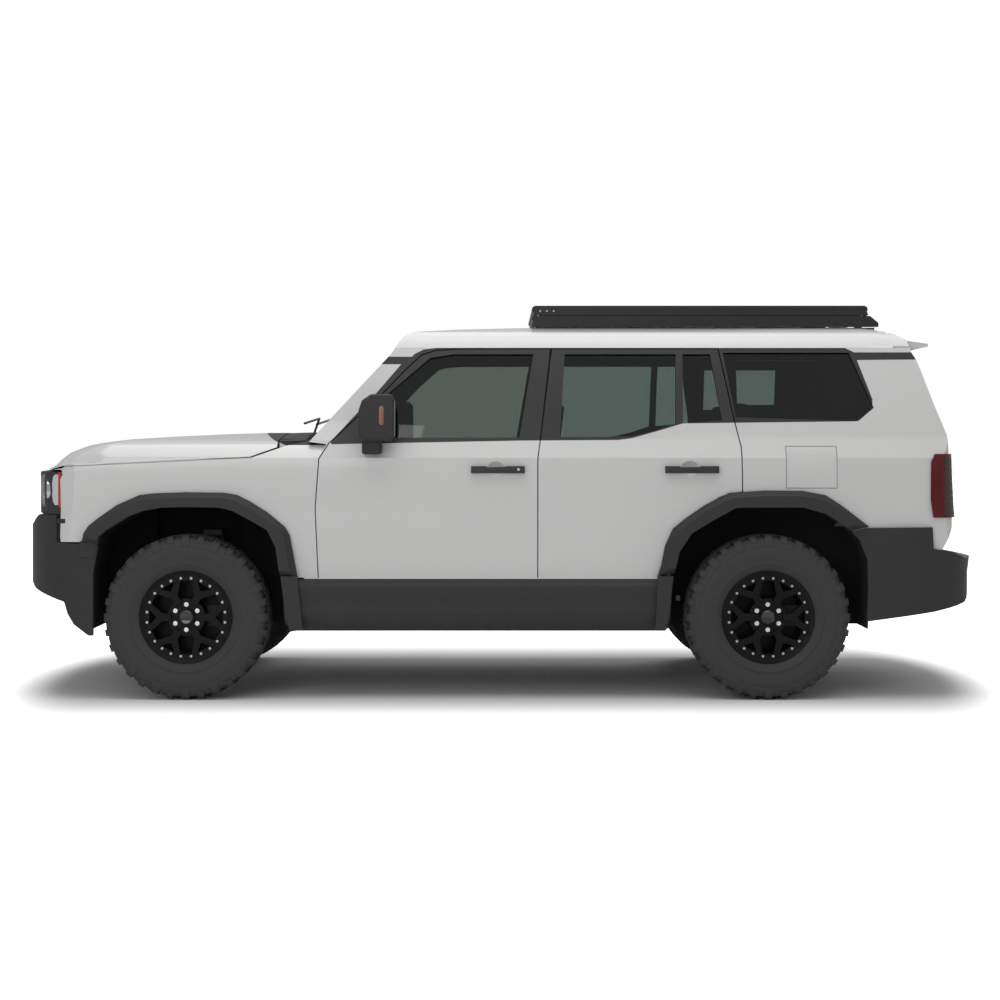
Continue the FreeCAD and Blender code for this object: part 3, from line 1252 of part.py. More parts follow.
def make_tank_and_exhaust():
    """The fuel tank between the rails, and the exhaust with its silencer."""
    tank = DOC.addObject("Part::Box", "fuel_tank")
    bind(tank, Length="Sizes.tank_length", Width="Sizes.tank_width",
         Height="Sizes.tank_height")
    front = f"{FRONT_AXLE_TEXT} + Sizes.wheelbase * {TANK_CROSS_SHARE} + Sizes.cross_width / 2"
    place(tank, front, "Sizes.rail_outer_y - Sizes.rail_width - Sizes.tank_width"
          " - Sizes.fit_gap", "Sizes.tank_low_z")
    keep("fuel_tank", tank)
    y = -(P.rail_outer_y - P.rail_width) / 2
    z = MIDDLE_RAIL_Z - P.rail_height / 2 - P.pipe_radius - P.shut_gap
    start = FRONT_AXLE + P.engine_length * (1 - ENGINE_AHEAD_SHARE) + P.gearbox_length / 2
    side = -P.gearbox_half + P.pipe_radius
    points = [V(start, side, P.gearbox_low_z + P.pipe_radius * 2), V(start + P.tyre_radius, y, z),
              V(REAR_AXLE - P.tyre_radius * 1.2, y, z),
              V(REAR_AXLE - P.tyre_radius * 0.3, y * 1.15, REAR_RAIL_Z - P.pipe_radius * 2),
              V(REAR_AXLE + P.tyre_radius * 0.5, y * 1.15, REAR_RAIL_Z - P.pipe_radius * 2),
              V(REAR_AXLE + P.tyre_radius * 0.85, y, z + P.pipe_radius)]
    pipe = [rod(low, high, P.pipe_radius) for low, high in zip(points, points[1:])]
    pipe += [Part.makeSphere(P.pipe_radius, point) for point in points[1:]]
    end = points[-1]
    pipe.append(rod(end, end + V(P.silencer_length, 0, 0), P.silencer_radius))
    tail = end + V(P.silencer_length, 0, 0)
    pipe.append(rod(tail, tail + V(P.tyre_radius / 5, 0, -P.pipe_radius), P.pipe_radius))
    feature("exhaust", biggest(union(pipe).cut(DOC.getObject("engine_block").Shape)))


# wheels

def tyre_envelope(grow_by):
    """The tyre's section turned about its axle: beads, walls, shoulders and tread."""
    half = P.tyre_width / 2
    top = P.tyre_radius + grow_by
    bead = P.rim_width / 2 - P.rim_wall - P.fit_gap
    over = P.rim_lip_radius + P.fit_gap
    side = [(P.bead_radius, bead), (over, bead), (over, P.rim_width / 2),
            (over + P.tyre_shoulder, half * 0.95), (top * 0.80, half),
            (top - P.tyre_shoulder * 1.6, half * 0.97), (top, half * 0.86)]
    outline = [(radius, -y) for radius, y in side] + list(reversed(side))
    points = [V(radius, y, 0) for radius, y in outline]
    face = Part.Face(Part.makePolygon(points + points[:1]))
    return face.revolve(V(0, 0, 0), V(0, 1, 0), 360)


LUGS = 36


def lug_ring(turn, y_low, y_high):
    """A toothed ring of tread blocks, one row of the tread."""
    root, tip = P.tyre_radius - P.lug_depth, P.tyre_radius
    step = 2 * math.pi / LUGS
    points = []
    for index in range(LUGS):
        base = (index + turn) * step
        for share, radius in ((0.0, root), (0.08, tip), (0.62, tip), (0.70, root)):
            angle = base + share * step
            points.append(V(radius * math.cos(angle), y_low, radius * math.sin(angle)))
    return polygon_prism(points, V(0, y_high - y_low, 0))


def tyre_shape():
    """An off-road tyre: three staggered rows of blocks within the turned envelope."""
    half = P.tyre_width / 2
    edge = half - P.lug_row
    rows = [lug_ring(0, -half, -edge), lug_ring(0.5, -edge, edge), lug_ring(0, edge, half)]
    body = rows[0].fuse(rows[1:])
    return body.common(tyre_envelope(0))


def rim_shape():
    """A rim: turned barrel, six forked spokes, hub and stud holes."""
    half = P.rim_width / 2
    lip, barrel, wall = P.rim_lip_radius, P.rim_barrel, P.rim_wall
    outline = [(barrel, -half + wall), (lip, -half), (lip, -half + wall),
               (P.bead_radius - P.fit_gap, -half + wall), (P.bead_radius - P.fit_gap, -half * 0.6),
               (barrel + wall, -half * 0.4), (barrel + wall, half * 0.4),
               (P.bead_radius - P.fit_gap, half * 0.6), (P.bead_radius - P.fit_gap, half - wall),
               (lip, half - wall), (lip, half), (barrel, half - wall)]
    points = [V(radius, y, 0) for radius, y in outline]
    ring = Part.Face(Part.makePolygon(points + points[:1]))
    ring = ring.revolve(V(0, 0, 0), V(0, 1, 0), 360)
    face = P.spoke_face_out
    back = face - P.spoke_depth
    pad = P.hub_pad_out
    hub = rod(V(0, pad, 0), V(0, face - P.arm_plate, 0), P.hub_radius)
    cap = rod(V(0, 0 + pad, 0), V(0, face, 0), P.cap_radius)
    band = rod(V(0, back, 0), V(0, face, 0), P.rim_barrel + P.fit_gap)
    band = band.cut(rod(V(0, 0, 0), V(0, half, 0), P.rim_barrel - P.bolt_band))
    spokes = []
    for index in range(6):
        spoke = spoke_prism(back, face)
        spoke.rotate(V(0, 0, 0), V(0, 1, 0), 30 + 60 * index)
        spokes.append(spoke)
    wheel = union([ring, hub, cap, band] + spokes)
    holes = []
    for index in range(6):
        angle = math.radians(90 + 60 * index)
        spot = V(P.stud_pitch_radius * math.cos(angle), 0, P.stud_pitch_radius * math.sin(angle))
        holes.append(rod(spot + V(0, pad - 1, 0), spot + V(0, face, 0), P.stud_hole))
    return wheel.cut(holes)


def spoke_prism(y_low, y_high):
    """One forked spoke that points up, from the hub to the barrel."""
    stem, tip = P.spoke_half, P.rim_barrel + P.rim_wall / 2
    fork = P.rim_barrel * 0.62
    root = P.hub_radius * 0.8
    spread = tip * 0.36
    outline = [(-stem, root), (stem, root), (stem, fork * 0.9), (spread + stem * 0.7, tip * 0.93),
               (spread - stem * 0.8, tip * 0.95), (0, fork + stem),
               (-spread + stem * 0.8, tip * 0.95), (-spread - stem * 0.7, tip * 0.93),
               (-stem, fork * 0.9)]
    return prism_y(outline, y_low, y_high)


def disc_shape():
    """A brake disc with its hat, and the hub that carries it."""
    low = -P.disc_in
    high = low + P.disc_thick
    pad = P.hub_pad_out - P.fit_gap
    plate = rod(V(0, low, 0), V(0, high, 0), P.disc_radius)
    hat = rod(V(0, low, 0), V(0, pad, 0), P.disc_bore + P.hat_wall)
    void = rod(V(0, low - 1, 0), V(0, pad - P.hat_wall, 0), P.disc_bore)
    start = P.knuckle_width + P.ball_gap - P.knuckle_in
    hub = rod(V(0, start, 0), V(0, pad, 0), P.hub_barrel)
    whole = plate.fuse(hat).cut(void).fuse(hub).removeSplitter()
    bowl = P.joint_ball + P.shut_gap
    room = rod(V(0, -P.kingpin_in - bowl, 0), V(0, bowl - P.kingpin_in, 0), bowl)
    return whole.cut(room)


def make_wheels():
    """Four wheels, each a tyre, a rim and a disc that turn together."""
    tyre, rim, disc = tyre_shape(), rim_shape(), disc_shape()
    for axle, x in AXLES.items():
        for side, sign in SIDES.items():
            for name, shape in (("tyre", tyre), ("rim", rim), ("brake_disc", disc)):
                piece = shape if sign > 0 else mirrored(shape)
                thing = feature(f"{name}_{axle}_{side}", piece)
                thing.Placement = App.Placement(V(x, sign * HALF_TRACK, P.tyre_radius),
                                                App.Rotation())


# roof rack, mirrors, wipers

def rack_sides(front, rear):
    """The two stacked side rails of the rack seen from the side, lower one longer."""
    tube = P.rack_tube
    split = RACK_LOW_Z + P.rack_height * 0.38
    foot = SHOULDER_Z + P.shut_gap
    upper = [(front - tube / 2, split + P.seat_gap * 6), (rear + tube, split + P.seat_gap * 6),
             (rear, RACK_TOP_Z), (front, RACK_TOP_Z)]
    lower = [(front - tube, foot), (rear + tube * 4, foot), (rear + tube * 4, CROWN_Z),
             (rear + tube * 1.5, split - P.seat_gap * 6), (front - tube / 2, split - P.seat_gap * 6)]
    return upper, lower


def make_rack_on_roof():
    """The flat roof rack: a rail all round, cross slats, and feet down to the roof."""
    front, rear = station(0.602), station(1.4497)
    half, low, high = SHOULDER_HALF, RACK_LOW_Z, RACK_TOP_Z
    tube = P.rack_tube
    rails = []
    for sign in SIDES.values():
        near, far = sorted((sign * (half - tube), sign * (half + tube)))
        rails += [prism_y(outline, near, far) for outline in rack_sides(front, rear)]
        web = half - tube / 2
        near, far = sorted((sign * web, sign * (half + tube / 2)))
        rails.append(block(front + tube, rear - tube, near, far, low, high - tube))
        for share in (0.02, 0.35, 0.68, 0.98):
            x = front + (rear - front) * share
            foot_z = SHOULDER_Z - P.overrun
            rails.append(block(x - tube, x + tube, sign * half - tube, sign * half + tube,
                               foot_z, low + tube))
    for x in (front, rear):
        for z in (low + tube, high - tube):
            rails.append(rod(V(x, -half, z), V(x, half, z), tube))
    count = 7
    for index in range(1, count):
        x = front + (rear - front) * index / count
        rails.append(block(x - P.rack_slat_half, x + P.rack_slat_half, -half, half,
                           low + tube, low + tube + P.rack_slat_height))
    rack = union(rails).cut(cabin_solid(0))
    feature("roof_rack", biggest(rack))


MIRROR_SHARES = [(0.36, 1), (0.9, 1), (1, 0.9), (1, 0.12), (0.88, 0), (0.14, 0), (0, 0.14),
                 (0, 0.66), (0.1, 0.87)]


def make_mirrors():
    """Door mirrors on short arms at the front corner of the windows."""
    x_low, x_high = station(0.2993), station(0.3600)
    z_low, z_high = BELT_Z - P.shut_gap, BELT_Z + 2 * P.glass_bulge + LOW_HALF / 4.4
    root_y, tip_y = P.crease_half - P.mirror_root, P.crease_half + P.mirror_out
    width, height = x_high - x_low, z_high - z_low
    outline = [(x_low + width * along, z_low + height * up) for along, up in MIRROR_SHARES]
    head = prism_y(outline, root_y, tip_y)
    head = head.makeFillet(P.arm_plate, head.Edges)
    foot_x = x_low + P.arm_plate
    foot_z = z_low - P.overrun * 1.6
    arm = block(foot_x, foot_x + width * 0.54, BELT_HALF - P.door_skin / 3,
                tip_y - P.overrun, foot_z, z_low + P.overrun)
    arm = arm.makeFillet(P.arm_plate, [edge for edge in arm.Edges
                                       if edge.CenterOfMass.z < z_low
                                       and edge.CenterOfMass.y > root_y - P.overrun])
    mirror = union([head, arm]).cut(cabin_block())
    for side, sign in SIDES.items():
        feature(f"mirror_{side}", mirror if sign > 0 else mirrored(mirror))


def make_wipers():
    """Two wiper arms parked on the foot of the windscreen."""
    foot, head = [V(x, 0, z) for x, z in side_points(SCREEN_LINE_SHARES)]
    slope = (head - foot).normalize()
    outward = V(-slope.z, 0, slope.x)
    sag = P.screen_radius - math.sqrt(P.screen_radius ** 2 - BELT_HALF ** 2)
    arms = []
    for centre, reach in ((-P.seat_centre_y, P.seat_length), (P.seat_centre_y / 2, P.seat_length)):
        lift = outward * (sag + P.arm_plate)
        start = foot + lift + slope * P.overrun + V(0, centre - reach / 2, 0)
        end = foot + lift + slope * P.overrun * 2 + V(0, centre + reach / 2, 0)
        blade = rod(start, end, P.rod_radius / 2)
        post = rod(end, V(end.x - P.overrun, end.y, BELT_Z), P.rod_radius / 2)
        arms.append(union([blade, post]).cut(DOC.getObject("cowl").Shape))
    feature("wipers", together(arms))


# cabin

FLOOR_STEP_SHARE = 0.80


def make_floor():
    """Floor, tunnel, firewall and load floor, one pressed sheet with walls of its own."""
    wall = P.floor_wall
    front = station(0.165)
    toe = station(0.235)
    step = station(FLOOR_STEP_SHARE)
    rear = station(1.7)
    top = [(front, FIREWALL_Z), (front, FLOOR_Z + P.tyre_radius / 2), (toe, FLOOR_Z),
           (step, FLOOR_Z), (step + P.overrun, LOAD_FLOOR_Z), (rear, LOAD_FLOOR_Z)]
    under = [(x - wall if index < 2 else x, z if index == 0 else z - wall)
             for index, (x, z) in enumerate(top)]
    under = [(x + (wall if index == 4 else 0), z) for index, (x, z) in enumerate(under)]
    outline = top + list(reversed(under))
    sheet = prism_y(outline, -FLOOR_HALF, FLOOR_HALF)
    keep_out = LOAD_FLOOR_HALF
    houses = [block(step - P.overrun, LENGTH, sign * keep_out, sign * FLARE_HALF, 0,
                    2 * CROWN_Z) if sign > 0 else
              block(step - P.overrun, LENGTH, -FLARE_HALF, -keep_out, 0, 2 * CROWN_Z)
              for sign in SIDES.values()]
    sheet = sheet.cut(houses)
    tunnel = block(front - wall, step - P.overrun, -P.tunnel_half, P.tunnel_half, FLOOR_Z - wall,
                   TUNNEL_Z)
    channel = block(front - 2 * wall, step - P.overrun, wall - P.tunnel_half,
                    P.tunnel_half - wall, 0, TUNNEL_Z - wall)
    pan = sheet.fuse(tunnel).cut(channel)
    wells = []
    for sign in SIDES.values():
        low, high = sorted((sign * (FLOOR_HALF), sign * keep_out))
        well = arch_void("rear", P.flare_flange + P.house_wall, low, high)
        well = well.cut(arch_void("rear", P.flare_flange, -FLARE_HALF, FLARE_HALF))
        wells.append(well.common(block(-LENGTH, LENGTH, -FLARE_HALF, FLARE_HALF, FLOOR_Z,
                                       CROWN_Z)))
    pan = pan.fuse(wells).removeSplitter()
    cuts = [DOC.getObject("chassis_frame").Shape]
    feature("floor_pan", biggest(pan.cut(cuts)))


def firewall_x():
    """The cabin's side of the firewall."""
    return station(0.165)


def steering_line():
    """The centre of the steering wheel and the unit vector of its raked column."""
    centre = V(firewall_x() + P.dash_depth + P.wheel_reach, -P.seat_centre_y,
               BELT_Z - P.wheel_drop)
    rake = math.radians(P.column_rake)
    return centre, V(math.cos(rake), 0, math.sin(rake))


def make_dashboard():
    """The dashboard across the cabin, with the binnacle's hood."""
    front = station(0.165) + P.seat_gap
    top = BELT_Z - P.overrun
    depth = P.dash_depth
    outline = [(front, top - P.seat_cushion * 2), (front, top - P.overrun),
               (front + depth * 0.6, top), (front + depth, top - P.overrun),
               (front + depth, top - P.seat_cushion), (front + depth * 0.6, top - P.seat_cushion * 2.4)]
    half = FLOOR_HALF - P.overrun
    centre, axis = steering_line()
    bore = rod(centre - axis * P.seat_length, centre, P.column_radius + P.ball_gap)
    feature("dashboard", prism_y(outline, -half, half).cut(bore))


def seat(front_x, y_low, y_high):
    """A seat on its base: cushion, and a raked back with a head restraint."""
    low = SEAT_LOW_Z
    top = low + P.seat_cushion
    outline = [(0, low), (0, top), (P.seat_length, top - P.overrun),
               (P.seat_length + P.seat_back, top + P.seat_back_height),
               (P.seat_length + 2 * P.seat_back, top + P.seat_back_height),
               (P.seat_length + P.seat_back, low)]
    body = prism_y([(front_x + x, z) for x, z in outline], y_low, y_high)
    base = block(front_x + P.overrun, front_x + P.seat_length, y_low + P.overrun,
                 y_high - P.overrun, FLOOR_Z + P.fit_gap, low + 1)
    return body.fuse(base).removeSplitter()


def make_seats():
    """Two front seats and the rear bench."""
    front = station(0.40)
    back = station(0.74)
    seats = [seat(front, sign * P.seat_centre_y - P.seat_half, sign * P.seat_centre_y + P.seat_half)
             for sign in SIDES.values()]
    feature("front_seats", together(seats))
    bench = seat(back, -(HOUSE_INNER_Y - P.bench_gap), (HOUSE_INNER_Y - P.bench_gap))
    step = station(FLOOR_STEP_SHARE)
    under = block(step - P.fit_gap, LENGTH, -FLARE_HALF, FLARE_HALF, 0,
                  LOAD_FLOOR_Z + P.fit_gap)
    tunnel = block(-LENGTH, step, -P.tunnel_half - P.fit_gap, P.tunnel_half + P.fit_gap, 0,
                   TUNNEL_Z + P.fit_gap)
    feature("rear_bench", biggest(bench.cut([under, tunnel])))


def make_steering_wheel():
    """The steering wheel on its raked column, ahead of the left seat."""
    centre, axis = steering_line()
    ring = Part.makeTorus(P.wheel_ring_radius, P.wheel_ring_tube, V(0, 0, 0), V(0, 0, 1))
    boss = Part.makeCylinder(P.wheel_boss, P.overrun, V(0, 0, -P.overrun), V(0, 0, 1))
    arms = [block(-P.wheel_ring_radius, P.wheel_ring_radius, -P.arm_plate, P.arm_plate,
                  -P.arm_plate, P.arm_plate / 4)]
    column = Part.makeCylinder(P.column_radius, P.column_length, V(0, 0, -P.column_length),
                               V(0, 0, 1))
    wheel = union([ring, boss, column] + arms)
    thing = feature("steering_wheel", wheel)
    turn = App.Rotation(V(0, 0, 1), axis)
    thing.Placement = App.Placement(centre, turn)


def check(things):
    """Stop if any object failed or holds no valid solid."""
    for thing in DOC.Objects:
        if "Invalid" in thing.State or "Error" in thing.State:
            raise RuntimeError(f"{thing.Label}: {thing.State}")
    for thing in things:
        shape = thing.Shape
        if shape.isNull() or not shape.isValid() or not shape.Solids:
            raise RuntimeError(f"{thing.Label} holds no valid solid")


def write(things):
    """Write each node's shape to a file of its own name."""
    os.makedirs("parts", exist_ok=True)
    for thing in things:
        thing.Shape.exportStep(f"parts/{thing.Label}.step")


def main():
    """Build every sub-part in order, check it and write it."""
    steps = [make_frame, make_engine, make_front_suspension, make_driveline, make_rear_axle,
             make_tank_and_exhaust, make_rack, make_wheels, make_body, make_flap,
             make_front_panels, make_cladding, make_front_end, make_rear_end,
             make_tailgate, make_doors, make_mirrors, make_wipers, make_rack_on_roof,
             make_floor, make_dashboard, make_seats, make_steering_wheel]
    for step in steps:
        began = time.time()
        step()
        DOC.recompute()
        print(step.__name__, round(time.time() - began, 1), flush=True)
    for side, sign in SIDES.items():
        make_knuckle(side, sign)
    DOC.recompute()
    check(NODES)
    write(NODES)
    print(len(NODES), "nodes")


main()
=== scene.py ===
"""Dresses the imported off-road 4x4: finishes, tyres, lamps, trim, cabin and studio."""
import json
import logging
import math
from collections.abc import Iterable
from dataclasses import dataclass, field
from enum import Enum, IntEnum

import bmesh
import bpy
from mathutils import Matrix, Vector
from mathutils.bvhtree import BVHTree


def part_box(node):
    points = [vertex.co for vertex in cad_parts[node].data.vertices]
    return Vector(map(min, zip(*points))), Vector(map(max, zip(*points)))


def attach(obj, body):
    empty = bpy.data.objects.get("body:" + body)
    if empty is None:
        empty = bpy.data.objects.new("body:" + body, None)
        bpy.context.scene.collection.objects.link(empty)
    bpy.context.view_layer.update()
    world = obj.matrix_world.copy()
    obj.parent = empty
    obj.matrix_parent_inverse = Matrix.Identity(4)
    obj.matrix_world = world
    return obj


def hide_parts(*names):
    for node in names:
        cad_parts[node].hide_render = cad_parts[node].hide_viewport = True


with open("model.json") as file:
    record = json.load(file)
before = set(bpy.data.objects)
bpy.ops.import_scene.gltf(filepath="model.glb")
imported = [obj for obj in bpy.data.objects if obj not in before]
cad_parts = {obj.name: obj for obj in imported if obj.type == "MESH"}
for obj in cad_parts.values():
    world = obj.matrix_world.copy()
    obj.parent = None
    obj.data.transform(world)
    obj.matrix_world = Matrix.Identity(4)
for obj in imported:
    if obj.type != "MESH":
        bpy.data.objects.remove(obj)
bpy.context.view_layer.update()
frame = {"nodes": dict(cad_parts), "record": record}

LOG = logging.getLogger("offroader")
MM = 0.001
BODY_OF = {node: body for body, nodes in frame["record"]["behaviour"]["bodies"].items()
           for node in nodes}
SLOT_OF = {row["node"]: row["material_slot"] for row in frame["record"]["subparts"]}
SIDES = {"left": -1, "right": 1}
WHEELS = [(axle, side, sign) for axle in ("front", "rear") for side, sign in SIDES.items()]
Point = tuple[float, float, float]
Outline = list[tuple[float, float]]
# the bonnet ends and the black cowl begins behind this outline of X and Z
COWL_EDGE: Outline = [(-1240, 1312), (-1086, 1246), (-1060, 1240), (-900, 1240),
                      (-900, 1360), (-1255, 1360)]


# colours, nodes and finishes

def linear(code: str) -> tuple[float, float, float, float]:
    """Turn an sRGB hex colour to linear light.

    Args:
        code: Six hex digits.

    Returns:
        Red, green, blue and an alpha of 1.
    """
    parts = [int(code[place:place + 2], 16) / 255 for place in (0, 2, 4)]
    light = [part / 12.92 if part <= 0.04045 else ((part + 0.055) / 1.055) ** 2.4
             for part in parts]
    return (light[0], light[1], light[2], 1.0)


def add_node(tree: bpy.types.NodeTree, kind: str, settings: dict | None = None,
             inputs: dict | None = None) -> bpy.types.Node:
    """Add a node with its settings, and its inputs as values or links.

    Args:
        tree: The node tree that gets the node.
        kind: The node's type.
        settings: Properties of the node.
        inputs: Socket names or numbers, each with a value or the socket to link from.

    Returns:
        The new node.
    """
    node = tree.nodes.new(kind)
    for name, value in (settings or {}).items():
        setattr(node, name, value)
    for name, value in (inputs or {}).items():
        if isinstance(value, bpy.types.NodeSocket):
            tree.links.new(value, node.inputs[name])
        else:
            node.inputs[name].default_value = value
    return node


def cleared_tree(block: bpy.types.Material | bpy.types.World) -> bpy.types.NodeTree:
    """Give a material or a world an empty node tree.

    Args:
        block: The material or world.

    Returns:
        Its tree.
    """
    block.use_nodes = True
    block.node_tree.nodes.clear()
    return block.node_tree


class Relief(Enum):
    """How a surface was made, which gives it its relief."""

    SPRAYED = "sprayed"
    GRAINED = "grained"
    WOVEN = "woven"
    CAST = "cast"
    TURNED = "turned"
    MOULDED = "moulded"


@dataclass(frozen=True)
class Finish:
    """A solid material with the relief and the colour play of how it was made.

    Args:
        name: The material's name.
        colour: Its sRGB hex colour.
        rough: Roughness from 0 to 1.
        relief: How the surface was made.
        grain: Size of the relief in millimetres.
        height: Strength of the relief.
        play: How far the colour wanders, as a share.
        metal: 1 for bare metal.
        coat: Weight of a clear coat.
        ior: Refractive index.
    """

    name: str
    colour: str
    rough: float
    relief: Relief = Relief.MOULDED
    grain: float = 2.0
    height: float = 0.1
    play: float = 0.06
    metal: float = 0.0
    coat: float = 0.0
    ior: float = 1.5

    def material(self) -> bpy.types.Material:
        """Build the material, or return it if it exists."""
        found = bpy.data.materials.get(self.name)
        if found:
            return found
        made = bpy.data.materials.new(self.name)
        tree = cleared_tree(made)
        place = add_node(tree, "ShaderNodeTexCoord").outputs["Object"]
        cloud = add_node(tree, "ShaderNodeTexNoise", None, {
            "Vector": place, "Scale": 2.6, "Detail": 3.0})
        fine = self.pattern(tree, place)
        blend = add_node(tree, "ShaderNodeMath", {"operation": "MULTIPLY_ADD"}, {
            0: fine, 1: 0.5, 2: cloud.outputs["Fac"]})
        base = linear(self.colour)
        low, high = (tuple(min(1.0, part * (1 + play)) for part in base[:3]) + (1.0,)
                     for play in (-self.play, self.play))
        ramp = add_node(tree, "ShaderNodeMix", {"data_type": "RGBA"}, {
            0: blend.outputs[0], 6: low, 7: high})
        rough = add_node(tree, "ShaderNodeMapRange", None, {
            "Value": blend.outputs[0], "To Min": max(0.02, self.rough * 0.88),
            "To Max": min(1.0, self.rough * 1.12)})
        bump = add_node(tree, "ShaderNodeBump", None, {
            "Strength": self.height, "Distance": self.grain * MM * 0.3, "Height": fine})
        shade = add_node(tree, "ShaderNodeBsdfPrincipled", None, {
            "Metallic": self.metal, "Coat Weight": self.coat, "Coat Roughness": 0.06,
            "IOR": self.ior, "Base Color": ramp.outputs[2], "Roughness": rough.outputs[0],
            "Normal": bump.outputs[0]})
        add_node(tree, "ShaderNodeOutputMaterial", None, {"Surface": shade.outputs[0]})
        return made

    def pattern(self, tree: bpy.types.NodeTree,
                place: bpy.types.NodeSocket) -> bpy.types.NodeSocket:
        """Add the relief's texture.

        Args:
            tree: The material's node tree.
            place: Object coordinates.

        Returns:
            The socket that carries the relief's height.
        """
        scale = 1 / (self.grain * MM)
        if self.relief is Relief.GRAINED:
            cells = add_node(tree, "ShaderNodeTexVoronoi", {"feature": "DISTANCE_TO_EDGE"}, {
                "Vector": place, "Scale": scale, "Randomness": 0.9})
            return cells.outputs["Distance"]
        if self.relief is Relief.WOVEN:
            waves = [add_node(tree, "ShaderNodeTexWave", {"bands_direction": way}, {
                "Vector": place, "Scale": scale / 6.2832, "Distortion": 0.6})
                for way in ("X", "Z")]
            cross = add_node(tree, "ShaderNodeMath", {"operation": "MAXIMUM"}, {
                0: waves[0].outputs["Fac"], 1: waves[1].outputs["Fac"]})
            return cross.outputs[0]
        if self.relief is Relief.TURNED:
            mapped = add_node(tree, "ShaderNodeMapping", None, {
                "Vector": place, "Scale": (scale, scale * 0.05, scale * 0.05)})
            rings = add_node(tree, "ShaderNodeTexNoise", None, {
                "Vector": mapped.outputs[0], "Scale": 1.0, "Detail": 2.0})
            return rings.outputs["Fac"]
        detail = {Relief.SPRAYED: 1.0, Relief.CAST: 5.0}.get(self.relief, 2.0)
        noise = add_node(tree, "ShaderNodeTexNoise", None, {
            "Vector": place, "Scale": scale, "Detail": detail})
        return noise.outputs["Fac"]


@dataclass(frozen=True)
class Lens:
    """A clear or tinted glass or polycarbonate.

    Args:
        name: The material's name.
        colour: Its sRGB hex tint.
        rough: Roughness of the surface.
        clear: How much of the light passes, the rest being the tint's own colour.
        ior: Refractive index.
        thin: Whether it is a thin pane that light passes straight through.
    """

    name: str
    colour: str
    rough: float = 0.02
    clear: float = 1.0
    ior: float = 1.45
    thin: bool = False

    def material(self) -> bpy.types.Material:
        """Build the material, or return it if it exists."""
        found = bpy.data.materials.get(self.name)
        if found:
            return found
        made = bpy.data.materials.new(self.name)
        tree = cleared_tree(made)
        place = add_node(tree, "ShaderNodeTexCoord").outputs["Object"]
        haze = add_node(tree, "ShaderNodeTexNoise", None, {
            "Vector": place, "Scale": 3.0, "Detail": 2.0})
        rough = add_node(tree, "ShaderNodeMapRange", None, {
            "Value": haze.outputs["Fac"], "To Min": self.rough * 0.6,
            "To Max": self.rough * 1.4})
        if self.thin:
            through = add_node(tree, "ShaderNodeBsdfTransparent", None, {
                "Color": linear(self.colour)})
            gloss = add_node(tree, "ShaderNodeBsdfGlossy", None, {
                "Color": linear("ffffff"), "Roughness": rough.outputs[0]})
            edge = add_node(tree, "ShaderNodeFresnel", None, {"IOR": self.ior})
            shade = add_node(tree, "ShaderNodeMixShader", None, {
                0: edge.outputs[0], 1: through.outputs[0], 2: gloss.outputs[0]})
        else:
            shade = add_node(tree, "ShaderNodeBsdfPrincipled", None, {
                "Base Color": linear(self.colour), "Transmission Weight": self.clear,
                "IOR": self.ior, "Roughness": rough.outputs[0]})
        add_node(tree, "ShaderNodeOutputMaterial", None, {"Surface": shade.outputs[0]})
        return made


# sprayed pearl white: a soft clear-coated sheen over a faint orange peel
PAINT = Finish("pearl_white_paint", "cfcfce", 0.34, Relief.SPRAYED, 6.0, 0.03, 0.015,
               coat=1.0)
# moulded polypropylene with a leather-like grain, a dull dark grey
CLADDING = Finish("grained_polypropylene", "2a2a2b", 0.66, Relief.GRAINED, 3.0, 0.25, 0.06)
# injection-moulded ABS, smooth and dull
BLACK_ABS = Finish("moulded_abs", "17181a", 0.5, Relief.MOULDED, 4.0, 0.08, 0.08)
# satin film on the window frames, a soft dark sheen
TRIM_FILM = Finish("satin_black_film", "2b2c2d", 0.4, Relief.SPRAYED, 5.0, 0.03, 0.04)
# felted liner of the wheel arches, which swallows light
LINER = Finish("needled_arch_liner", "101011", 0.95, Relief.CAST, 4.0, 0.4, 0.15)
# gloss black trim film over ABS, a mirror-like black
PIANO_BLACK = Finish("gloss_black_abs", "0d0e0f", 0.12, Relief.SPRAYED, 8.0, 0.02, 0.05,
                     coat=1.0)
# black powder coat on steel or alloy, a fine pebble
POWDER = Finish("black_powder_coat", "1d1d1e", 0.42, Relief.CAST, 1.6, 0.12, 0.08)
# satin black lacquer on cast alloy wheels
WHEEL_BLACK = Finish("satin_black_alloy", "050506", 0.46, Relief.SPRAYED, 3.0, 0.05, 0.08,
                     ior=1.3)
# vulcanised rubber with a bloom that dulls it to dark grey
TYRE_RUBBER = Finish("vulcanised_rubber", "373738", 0.78, Relief.CAST, 2.2, 0.2, 0.12)
# zinc-plated steel bolts
ZINC = Finish("zinc_plated_steel", "b9bbbd", 0.28, Relief.CAST, 1.0, 0.05, 0.06, metal=1.0)
# bright plating of the wheel nuts
BRIGHT = Finish("bright_plated_steel", "f0f1f2", 0.2, Relief.TURNED, 1.0, 0.04, 0.03, metal=1.0)
# bare cast iron, ground where the pads rub, its colour darkened to near black as painted shade for
# the discs deep inside the wheels
SHADE_DARKENED_IRON = Finish("ground_cast_iron", "1f1e1d", 0.38, Relief.TURNED, 1.5, 0.15, 0.1, metal=1.0)
# cast steel in a thin black paint, made darker still as painted shade for the parts seen in the
# shade of the wheel houses
BLACK_CAST_STEEL_WITH_PAINTED_SHADE = Finish("painted_cast_steel", "1c1d1e", 0.55, Relief.CAST, 3.0, 0.3, 0.15)
# dip-painted frame steel
FRAME_PAINT = Finish("dip_painted_steel", "131415", 0.45, Relief.CAST, 5.0, 0.1, 0.1)
# cast aluminium, as cast
ALLOY_CAST = Finish("cast_aluminium", "8b8d8e", 0.45, Relief.CAST, 2.5, 0.2, 0.1, metal=1.0)
